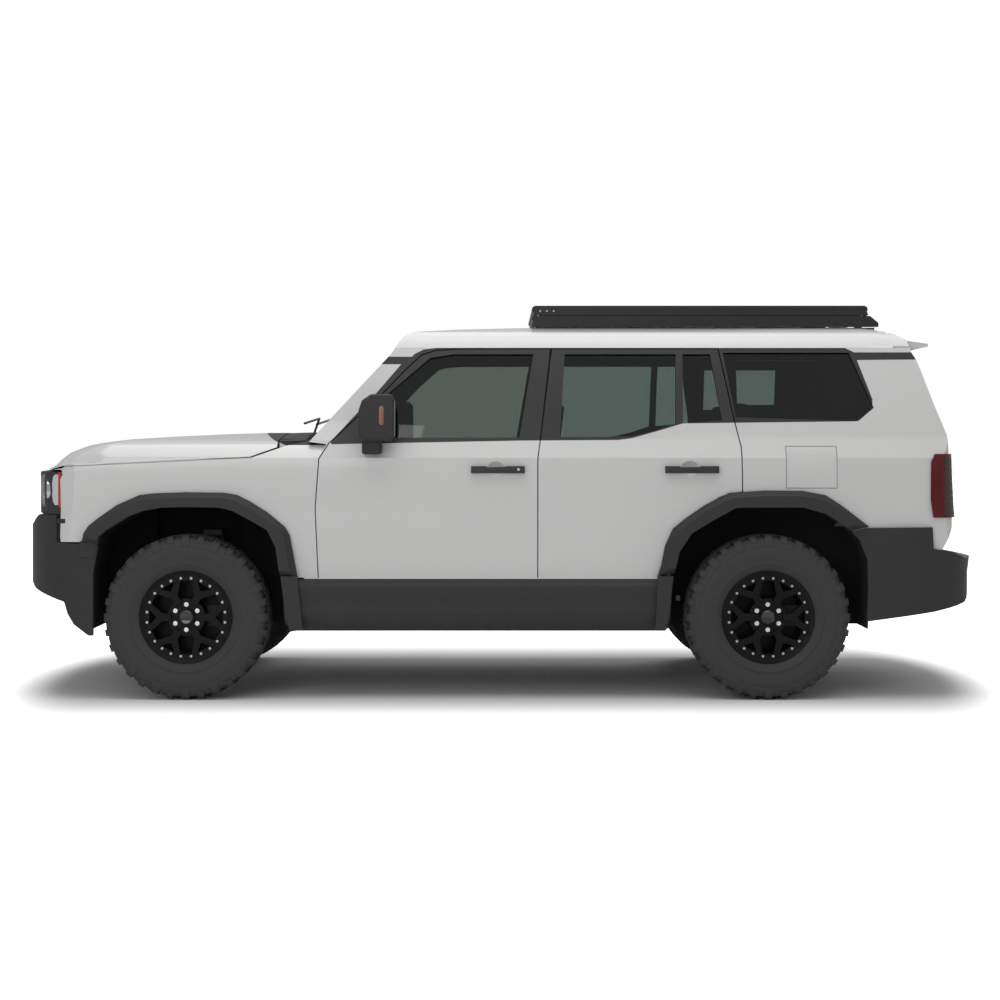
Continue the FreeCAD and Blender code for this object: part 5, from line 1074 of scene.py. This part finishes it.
@dataclass
class Tyre:
    """An off-road tyre: turned carcass, staggered tread blocks and side lugs.

    Args:
        steps: Faces round the carcass.
        lugs: Blocks in each row.
        wall: Half section of the carcass, radius and Y in millimetres.
    """

    steps: int = 108
    lugs: int = 32
    wall: Outline = field(default_factory=lambda: [
        (222, 97.4), (229.4, 97.4), (229.6, 107), (240, 117), (252, 123.5), (259, 125),
        (263, 128.5), (269, 128.5), (273, 126), (296, 130), (322, 131.8), (338, 131.5),
        (341, 130), (345, 130), (348, 131), (362, 128.5), (374, 122.5), (384, 114),
        (389, 104), (390, 60)])

    def carcass(self) -> bpy.types.Mesh:
        """Turn the carcass about the wheel's axis."""
        half = [(radius * MM, y * MM) for radius, y in self.wall]
        return lathe([(radius, -y) for radius, y in half] + list(reversed(half)), self.steps)

    def block(self, section: Outline, width: float, skew: float = 0.0,
              taper: float = 0.86) -> bpy.types.Mesh:
        """Make one tread block at the angle zero.

        Args:
            section: Radius and Y of its outline, in millimetres.
            width: Its length round the tread.
            skew: How far its far end is turned on.
            taper: Width of its top as a share of its foot.

        Returns:
            The closed block.
        """
        form = bmesh.new()
        radii = [radius for radius, _ in section]
        spans = [y for _, y in section]
        rims = []
        for end in (-1, 1):
            rim = []
            for radius, y in section:
                rise = (radius - min(radii)) / (max(radii) - min(radii))
                half = width / 2 * (1 - (1 - taper) * rise)
                lean = skew * (y - min(spans)) / (max(spans) - min(spans))
                rim.append(form.verts.new((radius * MM, y * MM, (end * half + lean) * MM)))
            rims.append(rim)
            form.faces.new(rim)
        for place in range(len(section)):
            after = (place + 1) % len(section)
            form.faces.new((rims[0][place], rims[0][after], rims[1][after], rims[1][place]))
        return written(form, "block")

    def tread(self) -> list[bpy.types.Mesh]:
        """Make the rows of blocks across the tread, for the wheel's whole width."""
        long = [(387, 58), (402.6, 56), (402.6, 96), (398, 110), (388, 121), (372, 129.5),
                (352, 133), (346, 131), (348, 127), (370, 120), (384, 110)]
        short = [(387, 58), (402.6, 56), (402.6, 96), (398, 110), (388, 120), (376, 127),
                 (370, 126.5), (372, 120), (384, 110)]
        inner = [(387, 3), (402.8, 4), (402.8, 26), (387, 27)]
        middle = [(387, 30), (402.8, 31), (402.8, 51), (387, 52)]
        pitch = 360 / self.lugs
        rows = []
        for sign, turn in ((1, 0.0), (-1, pitch / 2)):
            for section, width, skew, count, start in (
                    (long, 42, 0, self.lugs // 2, 0.0),
                    (short, 34, 0, self.lugs // 2, pitch),
                    (middle, 46, 14, self.lugs, pitch * 0.5),
                    (inner, 50, -12, self.lugs, pitch * 0.15)):
                outline = [(radius, y * sign) for radius, y in section]
                part = self.block(outline, width, skew)
                rows.append(repeated(part, count, TYRE_RUBBER, True, turn + start))
        return rows

    def build(self) -> None:
        """Put a tyre on every wheel in place of its plain CAD form."""
        whole = joined([self.carcass()] + self.tread())
        for axle, side, sign in WHEELS:
            node = f"tyre_{axle}_{side}"
            mesh = seated(whole, node, sign)
            smooth(mesh, 32)
            piece = new_piece(f"{node}_moulded", mesh, BODY_OF[node],
                              [TYRE_RUBBER])
            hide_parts(node)
        bpy.data.meshes.remove(whole)


def seated(mesh: bpy.types.Mesh, node: str, sign: int) -> bpy.types.Mesh:
    """Copy a wheel's mesh to the centre of a CAD node, its outer face outwards.

    Args:
        mesh: Made about the origin, its outer face towards +Y.
        node: The CAD node.
        sign: -1 on the left.

    Returns:
        The copy.
    """
    low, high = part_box(node)
    middle = (Vector(low) + Vector(high)) / 2
    copy = mesh.copy()
    if sign < 0:
        moved(copy, Matrix.Scale(-1, 4, (0, 1, 0)))
    copy.transform(Matrix.Translation(middle))
    return copy


@dataclass
class Rim:
    """A cast wheel: the CAD form with rounded edges, bolts, nuts, cap and brake shield.

    Args:
        bolt_ring: Radius of the ring of small bolts, in millimetres.
        bolts: How many bolts.
        nut_ring: Radius of the lug nuts.
        nuts: How many nuts.
        face: Y of the wheel's face.
        shield: Inner and outer radius of the brake shields, in metres.
    """

    bolt_ring: float = 192.5
    bolts: int = 24
    nut_ring: float = 62.0
    nuts: int = 6
    face: float = 99.0
    shield: tuple[float, float] = (0.176, 0.204)

    def hex_head(self, ring: float, radius: float, low: float, high: float) -> bpy.types.Mesh:
        """Make a six-sided head with a flange at the angle zero.

        Args:
            ring: Its distance from the wheel's axis.
            radius: Its radius.
            low: Y of its seat.
            high: Y of its top.

        Returns:
            The head.
        """
        parts = []
        for steps, size, start, end in ((12, radius * 1.25, low, low + (high - low) * 0.3),
                                        (6, radius, low + (high - low) * 0.3, high),
                                        (6, radius * 0.8, high, high + radius * 0.12)):
            parts.append(rod_mesh((ring, start, 0), (ring, end, 0), size, steps))
        return joined(parts)

    def build(self) -> None:
        """Dress every wheel."""
        bolts = repeated(self.hex_head(self.bolt_ring, 5.2, self.face - 1, self.face + 4.5),
                         self.bolts, ZINC, True, 7.5)
        nuts = repeated(self.hex_head(self.nut_ring, 9.0, self.face - 16, self.face + 3),
                        self.nuts, BRIGHT, True, 90)
        cap = lathe([(0, 0.0985), (0.0325, 0.0985), (0.0325, 0.1005), (0.030, 0.1025),
                     (0.027, 0.1015), (0, 0.1025)], 48)
        shield = lathe(rectangle(*self.shield, -0.092, -0.089), 64)
        extras = {"bolts": (bolts, ZINC), "nuts": (nuts, BRIGHT), "cap": (cap, PIANO_BLACK)}
        for axle, side, sign in WHEELS:
            node = f"rim_{axle}_{side}"
            piece = merged_copy(node, f"{node}_cast")
            piece.data.materials.append(WHEEL_BLACK.material())
            soften(piece, 2.0 * MM, 30)
            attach(piece, BODY_OF[node])
            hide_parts(node)
            for name, (mesh, finish) in extras.items():
                copy = seated(mesh, node, sign)
                if name == "cap":
                    smooth(copy, 30)
                new_piece(f"{node}_{name}", copy, BODY_OF[node], [finish])
        for axle, side, sign in WHEELS:
            body = BODY_OF[f"knuckle_{side}"] if axle == "front" else "vehicle"
            new_piece(f"brake_shield_{axle}_{side}", seated(shield, f"rim_{axle}_{side}", sign),
                      body, [FRAME_PAINT])
        for mesh in (bolts, nuts, cap, shield):
            bpy.data.meshes.remove(mesh)


@dataclass
class Mirrors:
    """Repeater strips and glasses of the door mirrors.

    Args:
        tip: Y of the mirror's outer face, in millimetres.
    """

    tip: float = 1082.0

    def build(self) -> None:
        """Add the strip and the glass on both sides."""
        for side, sign in SIDES.items():
            body = BODY_OF[f"mirror_{side}"]
            low, high = sorted((sign * (self.tip - 6), sign * (self.tip + 1.5)))
            strip = side_prism([(-607, 1350), (-600, 1343), (-588, 1343), (-582, 1354),
                                (-582, 1428), (-588, 1436), (-601, 1436), (-607, 1428)],
                               low, high)
            rounded_piece(f"mirror_repeater_{side}", strip, body,
                          SMOKED_AMBER, 1.5)
            near, far = sorted((sign * 962, sign * 1064))
            glass = box_mesh((-535.5, near, 1290), (-532, far, 1462))
            rounded_piece(f"mirror_glass_{side}", glass, body, REFLECTOR, 1.2)


@dataclass
class Lamps:
    """Headlamp bowls and rings.

    Args:
        centre_y: How far a headlamp lies from the middle, in millimetres.
        centre_z: Its height.
        radius: Its radius.
    """

    centre_y: float = 795.0
    centre_z: float = 1022.5
    radius: float = 82.0

    def build(self) -> None:
        """Replace the solid headlamps with lens, bowl, projector and ring."""
        copy = merged_copy("headlamps", "headlamp_lenses")
        form = bmesh.new()
        form.from_mesh(copy.data)
        back = [face for face in form.faces if face.normal.x > 0.3]
        bmesh.ops.delete(form, geom=back, context="FACES")
        form.to_mesh(copy.data)
        form.free()
        wall = copy.modifiers.new("wall", "SOLIDIFY")
        wall.thickness = 3.0 * MM
        wall.offset = -1
        apply_modifiers(copy)
        for finish in (LAMP_GLASS, BLACK_ABS):
            copy.data.materials.append(finish.material())
        for face in copy.data.polygons:
            face.material_index = 1 if abs(face.normal.y) > 0.5 else 0
        smooth(copy.data, 30)
        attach(copy, "vehicle")
        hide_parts("headlamps")
        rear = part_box("headlamps")[1][0]
        pieces = []
        for sign in SIDES.values():
            for profile in self.bowl_profiles():
                mesh = lathe(profile, 48)
                mesh.transform(Matrix.Rotation(math.radians(90), 4, "Z"))
                mesh.transform(Matrix.Translation((rear, sign * self.centre_y * MM,
                                                   self.centre_z * MM)))
                pieces.append(mesh)
        bowls = joined(pieces)
        smooth(bowls, 40)
        new_piece("headlamp_bowls", bowls, "vehicle", [REFLECTOR])

    def bowl_profiles(self) -> list[Outline]:
        """Give the closed outlines of a bowl and of the projector in it, in metres."""
        size = self.radius * MM
        bowl = [(0.030, 0.004), (size * 0.72, 0.020), (size * 0.93, 0.048), (size * 0.95, 0.048),
                (size * 0.76, 0.014), (0.030, 0.001)]
        projector = [(0, 0.002), (0.034, 0.002), (0.036, 0.030), (0.030, 0.040), (0.018, 0.047),
                     (0, 0.050)]
        return [bowl, projector]


@dataclass
class Seats:
    """Padded seats in the space of the plain CAD solids, blown up as cloth.

    Args:
        cell: Size of the remeshed faces in millimetres.
        cap: How far a point may swell, in millimetres.
        front_x: Where the front seats begin.
        rear_x: Where the bench begins.
        pressure: Pressure that blows the cloth up.
        frames: Steps of the cloth simulation.
    """

    cell: float = 12.0
    cap: float = 16.0
    front_x: float = -420.0
    rear_x: float = 549.0
    pressure: float = 4.0
    frames: int = 12

    def pads(self, x: float, low: float, high: float,
             sunk: float) -> dict[str, bpy.types.Mesh]:
        """Make the plain forms of one seat.

        Args:
            x: Where the seat begins.
            low: Its lower Y.
            high: Its higher Y.
            sunk: How far the head restraint is pushed down.

        Returns:
            Cushion, back and head restraint, a little smaller than they end up.
        """
        middle = (low + high) / 2
        half = min(115.0, (high - low) / 2 - 20)
        cushion = [(x + 12, 800), (x + 12, 888), (x + 60, 905), (x + 470, 872), (x + 500, 800)]
        back = [(x + 500, 862), (x + 540, 862), (x + 630, 905), (x + 700, 1352),
                (x + 615, 1362), (x + 593, 1350)]
        head = [(x + 612, 1424 - sunk), (x + 697, 1418 - sunk), (x + 709, 1500 - sunk),
                (x + 627, 1508 - sunk)]
        return {"cushion": side_prism(cushion, low + 14, high - 14),
                "back": side_prism(back, low + 14, high - 14),
                "head": side_prism(head, middle - half, middle + half)}

    def puffed(self, name: str, mesh: bpy.types.Mesh, body: str) -> None:
        """Remesh a pad, blow it up as cloth and keep it as a piece.

        Args:
            name: The piece's name.
            mesh: Its plain form.
            body: The body that carries it.
        """
        piece = linked(name, mesh)
        remesh = piece.modifiers.new("remesh", "REMESH")
        remesh.mode = "VOXEL"
        remesh.voxel_size = self.cell * MM
        apply_modifiers(piece)
        before = [corner.co.copy() for corner in piece.data.vertices]
        cloth = piece.modifiers.new("cloth", "CLOTH")
        cloth.settings.use_pressure = True
        cloth.settings.uniform_pressure_force = self.pressure
        cloth.settings.effector_weights.gravity = 0.0
        scene = bpy.context.scene
        for number in range(1, self.frames + 1):
            scene.frame_set(number)
        apply_modifiers(piece)
        scene.frame_set(1)
        for corner, start in zip(piece.data.vertices, before):
            shift = corner.co - start
            if shift.length > self.cap * MM:
                corner.co = start + shift.normalized() * self.cap * MM
        finer = piece.modifiers.new("finer", "SUBSURF")
        finer.levels = finer.render_levels = 1
        apply_modifiers(piece)
        mesh = piece.data
        bpy.data.objects.remove(piece)
        smooth(mesh, 60)
        pad = new_piece(name, mesh, body, [SEAT_CLOTH])
        self.made.append(pad)

    def build(self) -> None:
        """Make the front seats and the bench, with their plinths."""
        self.made: list[bpy.types.Object] = []
        seats = {"seat_left": (self.front_x, -678, -198), "seat_right": (self.front_x, 198, 678),
                 "bench_left": (self.rear_x, -618, -208), "bench_middle": (self.rear_x, -204, 204),
                 "bench_right": (self.rear_x, 208, 618)}
        plinths = []
        for name, (x, low, high) in seats.items():
            body = BODY_OF["front_seats" if name.startswith("seat") else "rear_bench"]
            sunk = 0 if name.startswith("seat") else 50
            for part, mesh in self.pads(x, low, high, sunk).items():
                self.puffed(f"{name}_{part}", mesh, body)
            if name.startswith("seat"):
                plinths.append(box_mesh((x + 60, low + 60, 615), (x + 470, high - 60, 790)))
                shell = [(x + 560, 840), (x + 645, 800), (x + 722, 1440), (x + 702, 1445)]
                plinths.append(side_prism(shell, low + 30, high - 30))
        rounded_piece("seat_plinths", joined(plinths), "vehicle", CABIN_TRIM, 4)
        for node, start in (("front_seats", "seat_"), ("rear_bench", "bench_")):
            for pad in self.made:
                if pad.name.startswith(start):
                    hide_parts(node)


@dataclass
class Cabin:
    """Screens and vents of the dashboard."""

    def build(self) -> None:
        """Add the central screen, the driver's display and the row of vent slats."""
        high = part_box("dashboard")[1]
        rear, top = high[0] / MM, high[2] / MM
        screen = box_mesh((rear - 26, -160, top - 20), (rear - 12, 160, top + 92))
        rounded_piece("centre_screen", screen, "vehicle", CABIN_TRIM, 3)
        display = box_mesh((rear - 46, -600, top - 20), (rear - 30, -290, top + 62))
        rounded_piece("driver_display", display, "vehicle", CABIN_TRIM, 3)
        slat = box_mesh((rear - 6, 240, top - 122), (rear + 3, 520, top - 116))
        slats = repeated(slat, 5, CABIN_TRIM, step=(0, 0, 13))
        new_piece("vent_slats", slats, "vehicle", [CABIN_TRIM])


@dataclass
class Fittings:
    """Pieces that close the body's joints or finish it outside, in millimetres.

    Args:
        feet: Tiles at the ends of the flares: outline of X and Z, lower and higher Y.
        borders: Outlines of the dark border of the quarter glass.
        fillers: Lower and higher Z of the nose's plates, and how far they stand ahead.
        bars: X of both ends of each door's handle.
        lean: How much the quarter glass leans in for each millimetre of height.
    """

    feet: list[tuple[Outline, float, float]] = field(default_factory=lambda: [
        ([(-1094, 606), (-1014, 606), (-1000, 480), (-985, 345), (-1045, 335), (-1066, 400),
          (-1085, 533)], 930, 980),
        ([(749, 606), (824, 606), (806, 450), (790, 345), (735, 345), (742, 480)], 930, 980),
        ([(-2078, 775), (-1990, 800), (-1998, 745), (-2012, 690), (-2078, 700)], 925, 957),
        ([(1610, 850), (1712, 850), (1712, 892), (1648, 892)], 930, 961)])
    borders: list[Outline] = field(default_factory=lambda: [
        rectangle(1076, 1153, 1358, 1712), rectangle(1153, 1561, 1358, 1445),
        rectangle(1153, 1561, 1671, 1712),
        [(1561, 1358), (1730, 1362), (1812, 1425), (1814, 1472), (1745, 1680), (1720, 1712),
         (1561, 1712)]])
    fillers: list[Point] = field(default_factory=lambda: [
        (1100, 1114, 0), (884, 910, 0), (862, 884, 26)])
    bars: dict[str, tuple[float, float]] = field(default_factory=lambda: {
        "front": (-164, 98), "rear": (786, 1048)})
    lean: float = 0.2765

    def cowl_cover(self) -> None:
        """Make the crowned cover that carries on the bonnet's section to the windscreen."""
        form = bmesh.new()
        form.from_mesh(frame["nodes"]["bonnet"].data)
        bonnet = BVHTree.FromBMesh(form)
        form.clear()
        front, rear, beside_bonnet = -1114, -985, 1246.0
        rows = []
        for step in range(-17, 18):
            y = step * 49.0
            spot = bonnet.ray_cast(Vector((-1123, y, 1500)) * MM, Vector((0, 0, -1)))[0]
            top = spot.z / MM if spot else beside_bonnet
            row = [(front, y, top - 1), (rear, y, top + 3), (rear, y, 1244), (front, y, 1232)]
            rows.append([form.verts.new(Vector(point) * MM) for point in row])
        for before, after in zip(rows, rows[1:]):
            for place in range(4):
                beside = (place + 1) % 4
                form.faces.new((before[place], before[beside], after[beside], after[place]))
        form.faces.new(rows[0])
        form.faces.new(rows[-1])
        piece = new_piece("cowl_cover", written(form, "cowl_cover"), "vehicle",
                          [PAINT, CLADDING])
        Panels().split_zone(piece, COWL_EDGE, 1)
        smooth(piece.data, 30)

    def nose_fillers(self) -> None:
        """Close the joints above and below the grille with dark plates behind the skin."""
        plan = [(x + 7, max(0, y - 5)) for y, x in Contour().plan if x < -2140]
        plan.append((-2100, plan[-1][1]))
        whole = plan + [(x, -y) for x, y in reversed(plan) if y]
        plates = [prism([((x - ahead) * MM, y * MM, low * MM) for x, y in whole],
                        (0, 0, (high - low) * MM)) for low, high, ahead in self.fillers]
        corner = both_sides(side_prism(rectangle(-2225, -2190, 756, 903), 872, 886))
        rounded_piece("nose_fillers", joined(plates + [corner]), "vehicle",
                      CLADDING, 1)

    def arch_closings(self) -> None:
        """Close the feet of the flares and the inner sides of the front wheel houses."""
        feet = [both_sides(side_prism(outline, low, high)) for outline, low, high in self.feet]
        rounded_piece("flare_feet", joined(feet), "vehicle", CLADDING, 1)
        shield = both_sides(box_mesh((-1800, 425, 722), (-1330, 429, 1004)))
        new_piece("bay_shields", shield, "vehicle", [LINER])

    def quarter_borders(self) -> None:
        """Blacken the load space's side glass round a clear middle."""
        parts = [prism([(x * MM, (848 - (z - 1355) * self.lean) * MM, z * MM)
                        for x, z in outline], (0, -0.002, 0)) for outline in self.borders]
        new_piece("quarter_borders", both_sides(joined(parts)), "vehicle",
                  [LINER])

    def handles(self) -> None:
        """Make the pull handles of the doors as rounded bars, the front ones with a lock."""
        turns = [math.radians(angle) for angle in range(-80, 81, 20)]
        for name, (low, high) in self.bars.items():
            outline = [(high - 17 + 17 * math.cos(turn), 1125 + 17 * math.sin(turn))
                       for turn in turns]
            outline += [(low + 15 - 15 * math.cos(turn), 1123 + 15 * math.sin(turn))
                        for turn in reversed(turns)]
            for side, sign in SIDES.items():
                near, far = sorted((sign * 955, sign * 976))
                body = BODY_OF[f"door_{name}_{side}"]
                rounded_piece(f"door_handle_{name}_{side}", side_prism(outline, near, far),
                              body, TRIM_FILM, 8)
                if name == "front":
                    lock = rod_mesh((68, sign * 972, 1127), (68, sign * 977.5, 1127), 6.5, 24)
                    rounded_piece(f"door_lock_{side}", lock, body, BRIGHT, 0.6)

    def rack_details(self) -> None:
        """Add the strip under the rack's rails and the bolts at its front ends."""
        gutter = both_sides(box_mesh((160, 596, 1828), (1868, 640, 1838)))
        new_piece("rack_gutter", gutter, "vehicle", [POWDER])
        head = rod_mesh((0, 0, 0), (0, 3.5, 0), 5.5, 6)
        head.transform(Matrix.Translation((180 * MM, 656.5 * MM, 1921 * MM)))
        bolts = both_sides(repeated(head, 3, ZINC, step=(34, 0, 0)))
        new_piece("rack_bolts", bolts, "vehicle", [ZINC])

    def grille_screen(self) -> None:
        """Bow a thin dark screen behind the grille's slots."""
        pitch, crown, bow, half = 42.0, -2336, 46, 560
        screen = [(crown + bow * (abs(share * pitch) / half) ** 2, share * pitch)
                  for share in range(-12, 13)]
        bars = [prism([(ax * MM, ay * MM, 0.925), (bx * MM, by * MM, 0.925),
                       ((bx + 5) * MM, by * MM, 0.925), ((ax + 5) * MM, ay * MM, 0.925)],
                      (0, 0, 0.17)) for (ax, ay), (bx, by) in zip(screen, screen[1:])]
        new_piece("grille_screen", joined(bars), "vehicle", [BLACK_ABS])

    def build(self) -> None:
        """Add every small piece."""
        self.cowl_cover()
        self.nose_fillers()
        self.arch_closings()
        self.quarter_borders()
        self.handles()
        self.rack_details()
        plate = box_mesh((2216, -170, 980), (2226, 170, 1100))
        rounded_piece("blank_rear_plate", plate, BODY_OF["tailgate"],
                      BLACK_ABS, 2)
        ribs = box_mesh((-1010, 952, 486), (-990, 957, 510))
        treads = both_sides(repeated(ribs, 45, CLADDING, step=(42, 0, 0)))
        new_piece("rocker_ribs", treads, "vehicle", [CLADDING])
        self.grille_screen()


@dataclass
class Studio:
    """Camera, floor, backdrop and soft lamps.

    Args:
        eye: Where the camera stands, in metres.
        lens: Focal length in millimetres.
        shift: Vertical shift of the frame.
    """

    eye: Point = (-0.0225, -10.66, 1.271)
    lens: float = 71.44
    shift: float = -0.06

    def camera(self) -> None:
        """Set the camera at the photograph's viewing angle."""
        data = bpy.data.cameras.new("camera")
        data.lens = self.lens
        data.sensor_width = 36.0
        data.shift_y = self.shift
        data.clip_end = 200.0
        eye = linked("camera", data)
        eye.location = self.eye
        eye.rotation_euler = (math.radians(90), 0, 0)
        bpy.context.scene.camera = eye

    def floor(self) -> None:
        """Lay a pale floor; a painted camera-only glow whitens it away from the object and bounds
        the shadow.
        """
        form = bmesh.new()
        bmesh.ops.create_grid(form, x_segments=1, y_segments=1, size=60.0)
        floor = linked("studio_floor", written(form, "studio_floor", outwards=False))
        paper = bpy.data.materials.new("studio_paper")
        tree = cleared_tree(paper)
        base = add_node(tree, "ShaderNodeBsdfDiffuse", None, {"Color": linear("e6e6e6")})
        place = add_node(tree, "ShaderNodeTexCoord").outputs["Object"]
        # painted light: a glow that grows with distance from a rounded box round the object sets
        # where its shadow ends
        size = add_node(tree, "ShaderNodeVectorMath", {"operation": "ABSOLUTE"}, {0: place})
        past = add_node(tree, "ShaderNodeVectorMath", {"operation": "SUBTRACT"}, {
            0: size.outputs[0], 1: (2.0, 0.0, 0.0)})
        ahead = add_node(tree, "ShaderNodeVectorMath", {"operation": "MAXIMUM"}, {
            0: past.outputs[0], 1: (0.0, 0.0, 0.0)})
        squeezed = add_node(tree, "ShaderNodeVectorMath", {"operation": "MULTIPLY"}, {
            0: ahead.outputs[0], 1: (3.2, 1.0, 1.0)})
        away = add_node(tree, "ShaderNodeVectorMath", {"operation": "LENGTH"}, {
            0: squeezed.outputs[0]})
        painted_shadow_edge = add_node(tree, "ShaderNodeMapRange", {"interpolation_type": "SMOOTHSTEP"}, {
            "Value": away.outputs["Value"], "From Min": 0.9, "From Max": 2.2})
        painted_floor_glow = add_node(tree, "ShaderNodeEmission", None, {"Strength": painted_shadow_edge.outputs[0]})
        both = add_node(tree, "ShaderNodeAddShader", None, {0: base.outputs[0],
                                                            1: painted_floor_glow.outputs[0]})
        ray = add_node(tree, "ShaderNodeLightPath")
        pick = add_node(tree, "ShaderNodeMixShader", None, {
            0: ray.outputs["Is Camera Ray"], 1: base.outputs[0], 2: both.outputs[0]})
        add_node(tree, "ShaderNodeOutputMaterial", None, {"Surface": pick.outputs[0]})
        floor.data.materials.append(paper)

    def light(self) -> None:
        """Light the object with a pale world and three large soft lamps."""
        world = bpy.data.worlds.new("studio")
        bpy.context.scene.world = world
        tree = cleared_tree(world)
        ray = add_node(tree, "ShaderNodeLightPath")
        seen = add_node(tree, "ShaderNodeMath", {"operation": "MAXIMUM"}, {
            0: ray.outputs["Is Camera Ray"], 1: ray.outputs["Is Transmission Ray"]})
        power = add_node(tree, "ShaderNodeMapRange", None, {
            "Value": seen.outputs[0], "To Min": 0.45, "To Max": 1.0})
        sky = add_node(tree, "ShaderNodeBackground", None, {
            "Color": linear("ffffff"), "Strength": power.outputs[0]})
        add_node(tree, "ShaderNodeOutputWorld", None, {"Surface": sky.outputs[0]})
        for name, spot, aim, size, watts in (
                ("overhead", (0, -1.0, 6.5), (0, 0, 0.6), 7.0, 255),
                ("near_side", (-3.0, -9.0, 3.2), (0, 0, 0.9), 4.4, 115),
                ("far_side", (3.0, 8.0, 4.5), (0, 0, 0.8), 5.0, 160)):
            data = bpy.data.lights.new(name, "AREA")
            data.size = size
            data.energy = watts
            lamp = linked(name, data)
            lamp.location = spot
            lamp.rotation_euler = (Vector(aim) - Vector(spot)).to_track_quat(
                "-Z", "Y").to_euler()


def main() -> None:
    """Build every sub-assembly in order and report each."""
    logging.basicConfig(level=logging.INFO, format="%(name)s: %(message)s")
    bpy.context.scene.view_settings.view_transform = "Standard"
    studio = Studio()
    studio.camera()
    LOG.info("camera")
    for part in (Panels(), Tyre(), Rim(), Mirrors(), Lamps(), Seats(), Cabin(), Fittings()):
        part.build()
        LOG.info("%s done", type(part).__name__)
    studio.floor()
    studio.light()
    LOG.info("studio")


if __name__ == "__main__":
    main()
